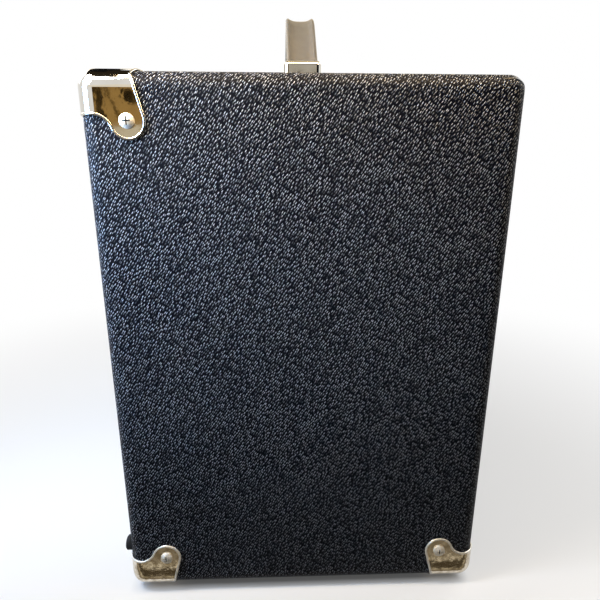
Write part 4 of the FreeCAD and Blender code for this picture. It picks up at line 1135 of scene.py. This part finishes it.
@dataclass
class PanelPrint:
    """Printing on the panel: knob scales, numbers at levers and sockets, ON and OFF, and ruled lines.

    The pair for a text is its size and its height above the middle of what it marks.
    """

    face: PanelFace
    knobs: Knobs
    levers: tuple[float, ...] = (-105.0, -35.0, 35.0, 105.0)
    lever_up: float = -56.0
    lever_text: Flat = (6.0, 18.0)
    lever_line: float = 9.0
    sockets: tuple[tuple[str, float], ...] = (("4", -122.0), ("6", -72.0), ("8", -22.0), ("7", 24.0),
                                              ("9", 65.0))
    socket_up: float = 4.0
    socket_text: Flat = (5.0, -24.0)
    toggle_at: Flat = (136.0, 26.0)
    toggle_text: Flat = (4.0, 14.5)
    buttons: tuple[tuple[str, float], ...] = (("A", 104.0), ("B", 136.0))
    button_up: float = -12.0
    button_text: Flat = (4.4, -12.5)
    frame_half: Flat = (149.0, 143.0)
    frame_w: float = 0.7
    rule_half: float = 145.0
    rules_up: tuple[float, ...] = (-29.0, -76.0, 40.0)
    thin_w: float = 0.4

    def texts(self) -> list[Surface]:
        """Numbers and words at the levers, sockets, toggle and buttons.

        Returns:
            Flat prints in the panel frame.
        """
        toggle_x, toggle_up = self.toggle_at
        levers = [(str(count), x) for count, x in enumerate(self.levers, 1)]
        off_text = (self.toggle_text[0], -self.toggle_text[1])
        groups = (
            (levers, self.lever_up, self.lever_text),
            (self.sockets, self.socket_up, self.socket_text),
            ((("ON", toggle_x),), toggle_up, self.toggle_text),
            ((("OFF", toggle_x),), toggle_up, off_text),
            (self.buttons, self.button_up, self.button_text),
        )
        return [lettering(text, size, (x, up + gap)) for row, up, (size, gap) in groups for text, x in row]

    def lines(self) -> list[Surface]:
        """Lines beside each lever's slot, the frame round the panel and the rules across it.

        Returns:
            Flat prints in the panel frame.
        """
        reach = self.lever_line
        low, high = self.lever_up - reach, self.lever_up + reach
        beside = [x + side for x in self.levers for side in (-reach, reach)]
        marks = [rule((x, low), (x, high), self.thin_w) for x in beside]
        right, top = self.frame_half
        frame = ((-right, -top), (right, -top), (right, top), (-right, top))
        marks += [rule(frame[k - 1], frame[k], self.frame_w) for k in range(len(frame))]
        marks += [rule((-self.rule_half, up), (self.rule_half, up), self.thin_w) for up in self.rules_up]
        return marks

    def build(self, finishes: Finishes) -> None:
        """Make all the printing on the panel as one piece.

        Args:
            finishes: where materials come from.
        """
        prints = self.face.placed(self.knobs.scales() + self.texts() + self.lines(), self.face.lift)
        prints.build("panel_printing", "cabinet", "needle", finishes.of(INK_AND_SHADE), smooth=False)


@dataclass
class MeterDial:
    """Scale and coloured arcs of the meter, and the zero screw below its window.

    The coloured arcs end and start at shares of the sweep to one side.
    """

    face: PanelFace
    pivot: Flat = (-86.0, 81.0)
    sweep: float = 42.0
    divisions: int = 50
    long_every: int = 5
    number_every: int = 10
    full_scale: int = 100
    scale_r: float = 37.6
    short_r: float = 39.4
    long_r: float = 41.4
    number_r: float = 44.2
    number_size: float = 3.6
    arc_w: float = 0.4
    short_w: float = 0.25
    long_w: float = 0.45
    colour_r: float = 34.6
    colour_w: float = 2.6
    low_end: float = -0.2
    high_start: float = 0.1
    zero_at: Flat = (-86.0, 55.5)
    zero_profile: tuple[Flat, ...] = ((3.4, 11.9), (3.4, 12.6), (3.0, 13.0), (0.01, 13.3))
    slot_half: float = 2.4
    slot_w: float = 0.8
    slot_out: float = 13.4

    def scale(self) -> list[Surface]:
        """Black arc with its divisions, and numbers up to full scale.

        Returns:
            Flat prints in the panel frame.
        """
        marks = [band(self.pivot, self.scale_r, -self.sweep, self.sweep, self.arc_w)]
        for step in range(self.divisions + 1):
            angle = self.sweep * (2 * step / self.divisions - 1)
            reach, width = self.long_r, self.long_w
            if step % self.long_every:
                reach, width = self.short_r, self.short_w
            ends = [bearing(self.pivot, radius, angle) for radius in (self.scale_r, reach)]
            marks.append(rule(*ends, width))
            if step % self.number_every == 0:
                text = str(step * self.full_scale // self.divisions)
                marks.append(lettering(text, self.number_size, bearing(self.pivot, self.number_r, angle)))
        return marks

    def arc(self, start: float, end: float) -> list[Surface]:
        """One coloured arc between two shares of the sweep."""
        return [band(self.pivot, self.colour_r, start * self.sweep, end * self.sweep, self.colour_w)]

    def build(self, finishes: Finishes) -> None:
        """Make the scale, both arcs, the zero screw and the filling of its slot.

        Args:
            finishes: where materials come from.
        """
        dial = self.face.above("meter_dial")
        prints = (
            ("dial_scale", self.scale(), dial, "needle", INK_AND_SHADE),
            ("dial_low_arc", self.arc(-1.0, self.low_end), dial, "button", RED_INK),
            ("dial_high_arc", self.arc(self.high_start, 1.0), dial, "dial", GREEN_INK),
        )
        for name, flats, out, slot, finish in prints:
            self.face.placed(flats, out).build(name, "cabinet", slot, finishes.of(finish), smooth=False)
        zero = self.face.turned(self.zero_at, self.zero_profile)
        zero.build("meter_zero_screw", "cabinet", "bakelite", finishes.of(PHENOLIC))
        x, up = self.zero_at
        slot_line = rule((x - self.slot_half, up), (x + self.slot_half, up), self.slot_w)
        filling = self.face.placed([slot_line], self.slot_out)
        filling.build("meter_zero_slot", "cabinet", "dial", finishes.of(CREAM_INK), smooth=False)


@dataclass
class RollChart:
    """Printing on the chart paper: ruled columns, and rows of plain numbers from a fixed draw."""

    face: PanelFace
    middle: Flat = (50.0, 92.0)
    columns: tuple[float, ...] = (-50.0, -36.0, -20.0, -4.0, 12.0, 28.0, 50.0)
    rows: int = 8
    row_reach: float = 24.0
    half_w: float = 52.0
    half_h: float = 29.0
    row_drop: float = 3.4
    column_rule_w: float = 0.25
    row_rule_w: float = 0.2
    number_size: float = 4.2
    number_range: tuple[int, int] = (2, 99)
    seed: int = 7

    def marks(self) -> list[Surface]:
        """Lines between the columns and below the rows, and a number in the middle of each field.

        Returns:
            Flat prints in the panel frame.
        """
        x, up = self.middle
        left, right = x - self.half_w, x + self.half_w
        low, high = up - self.half_h, up + self.half_h
        columns = x + np.array(self.columns)
        rows = up + np.linspace(self.row_reach, -self.row_reach, self.rows)
        marks = [rule((c, low), (c, high), self.column_rule_w) for c in columns[1:-1]]
        marks += [rule((left, r), (right, r), self.row_rule_w) for r in rows - self.row_drop]
        draw = np.random.default_rng(self.seed).integers(*self.number_range, (len(rows), len(columns) - 1))
        middles = (columns[:-1] + columns[1:]) / 2
        for r, numbers in zip(rows, draw):
            marks += [lettering(str(n), self.number_size, (m, r)) for m, n in zip(middles, numbers)]
        return marks

    def build(self, finishes: Finishes) -> None:
        """Make the printing on the paper as one piece.

        Args:
            finishes: where materials come from.
        """
        prints = self.face.placed(self.marks(), self.face.above("chart_paper"))
        prints.build("chart_printing", "cabinet", "needle", finishes.of(INK_AND_SHADE), smooth=False)


@dataclass(frozen=True)
class Softbox:
    """An area light: place and aim in mm, sides in mm, power in watts and colour."""

    name: str
    at: Place
    aim: Place
    sides: Flat
    watts: float
    colour: str

    def build(self) -> None:
        """Hang the light so that it looks from its place to its aim."""
        lamp = bpy.data.lights.new(self.name, "AREA")
        lamp.shape = "RECTANGLE"
        lamp.size, lamp.size_y = (s * MM for s in self.sides)
        lamp.energy = self.watts
        lamp.color = hex_linear(self.colour)[:3]
        hung = bpy.data.objects.new(self.name, lamp)
        look = Vector(self.aim) - Vector(self.at)
        turned = look.to_track_quat("-Z", "Y").to_matrix().to_4x4()
        hung.matrix_world = Matrix.Translation(Vector(self.at) * MM) @ turned
        hung.visible_camera = False
        bpy.context.scene.collection.objects.link(hung)


@dataclass(frozen=True)
class Card:
    """A plain card out of the picture that only gloss and bright metal see, or that only holds light off."""

    name: str
    middle: Place
    across: Place
    up: Place
    colour: str
    level: float = 1.0
    shades: bool = False

    def build(self) -> None:
        """Stand the card: half its width and half its height to each side of its middle."""
        made, tree = bare_material(self.name)
        glow = add(tree, "ShaderNodeEmission", {"Color": hex_linear(self.colour), "Strength": self.level})
        add(tree, "ShaderNodeOutputMaterial", {"Surface": glow.outputs[0]})
        u, v = np.meshgrid((-0.5, 0.5), (-0.5, 0.5))
        spread = u[..., None] * np.array(self.across) + v[..., None] * np.array(self.up)
        card = Surface.grid(np.array(self.middle) + spread).stand(self.name, made)
        card.visible_camera = False
        card.visible_diffuse = False
        card.visible_glossy = not self.shades
        card.visible_shadow = self.shades


# Two windows beside the seen end, a strip over its top edge, and two wide fills
SOFTBOXES = (
    Softbox("key_window", (-275, 265, 500), (-180, 70, 310), (160, 180), 3.7, "#fff8ec"),
    Softbox("side_window", (-280, 340, 380), (-170, 100, 280), (120, 300), 3.3, "#8cc2ff"),
    Softbox("top_window", (-215, -15, 450), (-178, -15, 345), (300, 40), 0.85, "#ffdca8"),
    Softbox("front_fill", (500, -1400, 1500), (0, 0, 180), (1400, 1400), 20.0, "#ffffff"),
    Softbox("rear_fill", (900, 1300, 1500), (0, 0, 180), (1400, 1400), 11.0, "#ffffff"),
)
# A tan wall with shadows and pale edges, a dark room, bands on the table, a card and flags for the handle's
# cap, two shades, and the ceiling and far wall
CARDS = (
    Card("tan_card", (-1500, 530, 540), (0, 340, 0), (0, 0, 280), "#a8844a"),
    Card("tan_shadow_wide", (-1480, 592, 520), (0, 26, 0), (0, 14, 110), "#2b1f0c"),
    Card("tan_shadow_thin", (-1480, 556, 535), (0, 14, 0), (0, 40, 90), "#5a4420"),
    Card("tan_shadow_spot", (-1480, 500, 545), (0, 40, 0), (0, 10, 40), "#1f170a"),
    Card("pale_step", (-1480, 530, 420), (0, 240, 0), (0, 0, 70), "#d5c8ab"),
    Card("pale_top", (-1505, 800, 790), (0, 840, 0), (0, 0, 220), "#efe7d6", 1.2),
    Card("room_card", (-1520, -1110, 1000), (0, 2980, 0), (0, 0, 2600), "#17181c"),
    Card("room_canopy", (-1110, -1110, 2000), (820, 0, 0), (0, 2980, 0), "#17181c"),
    Card("table_card", (-226, 0, 1.5), (80, 0, 0), (0, 2600, 0), "#8b806d"),
    Card("table_far", (-910, 0, 1.5), (1280, 0, 0), (0, 2600, 0), "#17181c"),
    Card("table_pale_line", (-204, 0, 1.7), (3, 0, 0), (0, 2600, 0), "#e6dcc6"),
    Card("table_dark_line", (-198, 0, 1.7), (6, 0, 0), (0, 2600, 0), "#4a4030"),
    Card("table_low_line", (-192.5, 0, 1.7), (2, 0, 0), (0, 2600, 0), "#d8ccb2"),
    Card("cap_card", (-1490, -67, 660), (0, 190, 0), (0, 0, 170), "#c2bbae"),
    Card("cap_shadow", (-1480, -95, 610), (0, 110, 0), (0, 30, 50), "#1a1917"),
    Card("handle_flag_left", (-90, 150, 430), (120, 0, 0), (0, 0, 80), "#141414"),
    Card("handle_flag_right", (-90, -150, 425), (120, 0, 0), (0, 0, 50), "#2a2926"),
    Card("low_flag", (-229, 125, 150), (0, 380, 0), (0, 0, 200), "#000000", shades=True),
    Card("strap_flag", (-160, 0, 410), (0, 80, 0), (0, 0, 94), "#000000", shades=True),
    Card("dark_flag", (150, 830, 1700), (1700, 0, 0), (0, 800, 0), "#2b241a"),
    Card("warm_ceiling", (300, -400, 1700), (2400, 0, 0), (0, 1650, 0), "#cbbb9b", 1.3),
    Card("warm_wall", (1600, 0, 1325), (0, 3000, 0), (0, 0, 1150), "#d3c19c", 1.6),
)


@dataclass
class Studio:
    """Pale floor, white surroundings, soft lights and the camera.

    The camera's stand is measured from the middle of the cabinet's base, and its focal length is in pixels
    of a square frame. The floor's white share runs from the lift at the near radius to one at the far one.
    """

    cabinet: Cabinet
    stand: Place = (-446.9, 13.0, 287.5)
    yaw_deg: float = -2.07
    pitch_deg: float = -15.0
    roll_deg: float = 0.11
    focal_px: float = 451.0
    frame_px: float = 600.0
    sensor: float = 36.0
    clip_m: Flat = (0.01, 100.0)
    floor_rings: tuple[float, ...] = (1.0, 300.0, 900.0, 3000.0, 9000.0)
    near_r: float = 150.0
    far_r: float = 800.0
    lift: float = 0.5
    # Round the cabinet's outline the floor's white share is cut, which partly paints the contact shadow
    contact_in: float = 7.0
    contact: float = 9.0
    contact_lift: float = 0.1
    paint: str = "#d2d2d2"
    bounce: str = "#282828"
    surround: float = 0.24

    def floor_paint(self) -> bpy.types.Material:
        """Paint of the floor: to the eye it is pale, and plain white further off.

        The white share grows with the distance from the middle. Under the cabinet it is cut to a tenth or so
        of itself, the contact shadow's lift, and it grows back over a short way at the cabinet's outline;
        this partly paints the contact shadow there.

        Returns:
            The material.
        """
        made, tree = bare_material("pale_floor")
        place = add(tree, "ShaderNodeTexCoord")
        far = add(tree, "ShaderNodeVectorMath", {0: place.outputs["Object"]}, operation="LENGTH")
        fade = add(tree, "ShaderNodeMapRange",
                   {"Value": far.outputs["Value"], "From Min": self.near_r * MM, "From Max": self.far_r * MM,
                    "To Min": self.lift}, interpolation_type="SMOOTHSTEP")
        half = tuple(((self.cabinet.high - self.cabinet.low)[:2] / 2 - self.contact_in) * MM)
        side = add(tree, "ShaderNodeVectorMath", {0: place.outputs["Object"]}, operation="ABSOLUTE")
        past = add(tree, "ShaderNodeVectorMath", {0: side.outputs[0], 1: (*half, 0.0)}, operation="SUBTRACT")
        clear = add(tree, "ShaderNodeVectorMath", {0: past.outputs[0], 1: (0.0, 0.0, 0.0)},
                    operation="MAXIMUM")
        gap = add(tree, "ShaderNodeVectorMath", {0: clear.outputs[0]}, operation="LENGTH")
        # Cut of the white share at the cabinet's outline: a partly painted contact shadow
        near = add(tree, "ShaderNodeMapRange",
                   {"Value": gap.outputs["Value"], "From Max": self.contact * MM,
                    "To Min": self.contact_lift})
        fade = add(tree, "ShaderNodeMath", {0: fade.outputs[0], 1: near.outputs[0]}, operation="MULTIPLY")
        seen = to_the_eye(tree)
        share = add(tree, "ShaderNodeMath", {0: seen, 1: fade.outputs[0]}, operation="MULTIPLY")
        pale = add(tree, "ShaderNodeMix",
                   {MIX_SHARE: seen, MIX_FIRST: hex_linear(self.bounce), MIX_SECOND: hex_linear(self.paint)},
                   data_type="RGBA")
        paint = add(tree, "ShaderNodeBsdfDiffuse", {"Color": pale.outputs[MIX_MADE]})
        white = add(tree, "ShaderNodeEmission", {"Color": WHITE, "Strength": 1.0})
        mixed = add(tree, "ShaderNodeMixShader",
                    {0: share.outputs[0], 1: paint.outputs[0], 2: white.outputs[0]})
        add(tree, "ShaderNodeOutputMaterial", {"Surface": mixed.outputs[0]})
        return made

    def floor(self) -> None:
        """Disc of rings: each reach times the cosine and sine of a full turn."""
        reach = np.array(self.floor_rings)[:, None]
        turn = full_turn()
        x = reach * np.cos(turn)
        y = reach * np.sin(turn)
        disc = Surface.grid(np.stack([x, y, np.zeros_like(x)], -1), (False, True)).outward(UPWARD)
        disc.stand("pale_floor", self.floor_paint())

    def world(self) -> None:
        """White to the eye and in reflections, and a plain soft level for everything else."""
        world = bpy.data.worlds.new("studio_surround")
        world.use_nodes = True
        tree = world.node_tree
        tree.nodes.clear()
        soft = (self.surround, self.surround, self.surround, 1.0)
        level = add(tree, "ShaderNodeMix", {MIX_SHARE: to_the_eye(tree), MIX_FIRST: soft, MIX_SECOND: WHITE},
                    data_type="RGBA")
        sky = add(tree, "ShaderNodeBackground", {"Color": level.outputs[MIX_MADE], "Strength": 1.0})
        add(tree, "ShaderNodeOutputWorld", {"Surface": sky.outputs[0]})
        bpy.context.scene.world = world

    def camera(self) -> None:
        """Camera from its bearing: forward from yaw and pitch, right level, and both turned by the roll."""
        yaw, pitch, roll = (math.radians(a) for a in (self.yaw_deg, self.pitch_deg, self.roll_deg))
        ahead = np.array([math.cos(pitch) * math.cos(yaw), math.cos(pitch) * math.sin(yaw), math.sin(pitch)])
        level = np.array([math.sin(yaw), -math.cos(yaw), 0.0])
        upright = np.cross(level, ahead)
        right = math.cos(roll) * level + math.sin(roll) * upright
        up = math.cos(roll) * upright - math.sin(roll) * level
        base = np.array([self.cabinet.middle[0], self.cabinet.middle[1], self.cabinet.low[2]])
        turned = Matrix(np.stack([right, up, -ahead], -1).tolist()).to_4x4()
        lens = bpy.data.cameras.new("photo_camera")
        lens.sensor_width = self.sensor
        lens.lens = self.focal_px / self.frame_px * self.sensor
        lens.clip_start, lens.clip_end = self.clip_m
        seat = bpy.data.objects.new("photo_camera", lens)
        seat.matrix_world = Matrix.Translation(Vector((base + np.array(self.stand)) * MM)) @ turned
        bpy.context.scene.collection.objects.link(seat)
        bpy.context.scene.camera = seat

    def build(self) -> None:
        """Set up everything round the object."""
        bpy.context.scene.view_settings.view_transform = "Standard"
        self.world()
        self.floor()
        for thing in SOFTBOXES + CARDS:
            thing.build()
        self.camera()


def main() -> None:
    """Load the frame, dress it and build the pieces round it."""
    logging.basicConfig(level=logging.INFO, format="%(name)s %(message)s")
    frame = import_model()
    cabinet = Cabinet.from_frame()
    face = PanelFace.from_frame()
    knobs = Knobs(face)
    finishes = Finishes({})
    finishes.dress_nodes(frame["nodes"])
    for assembly in (Covering(cabinet), CornerRims(cabinet), StrapHandle(cabinet), PanelPrint(face, knobs),
                     MeterDial(face), RollChart(face), knobs):
        assembly.build(finishes)
    Studio(cabinet).build()


if __name__ == "__main__":
    main()
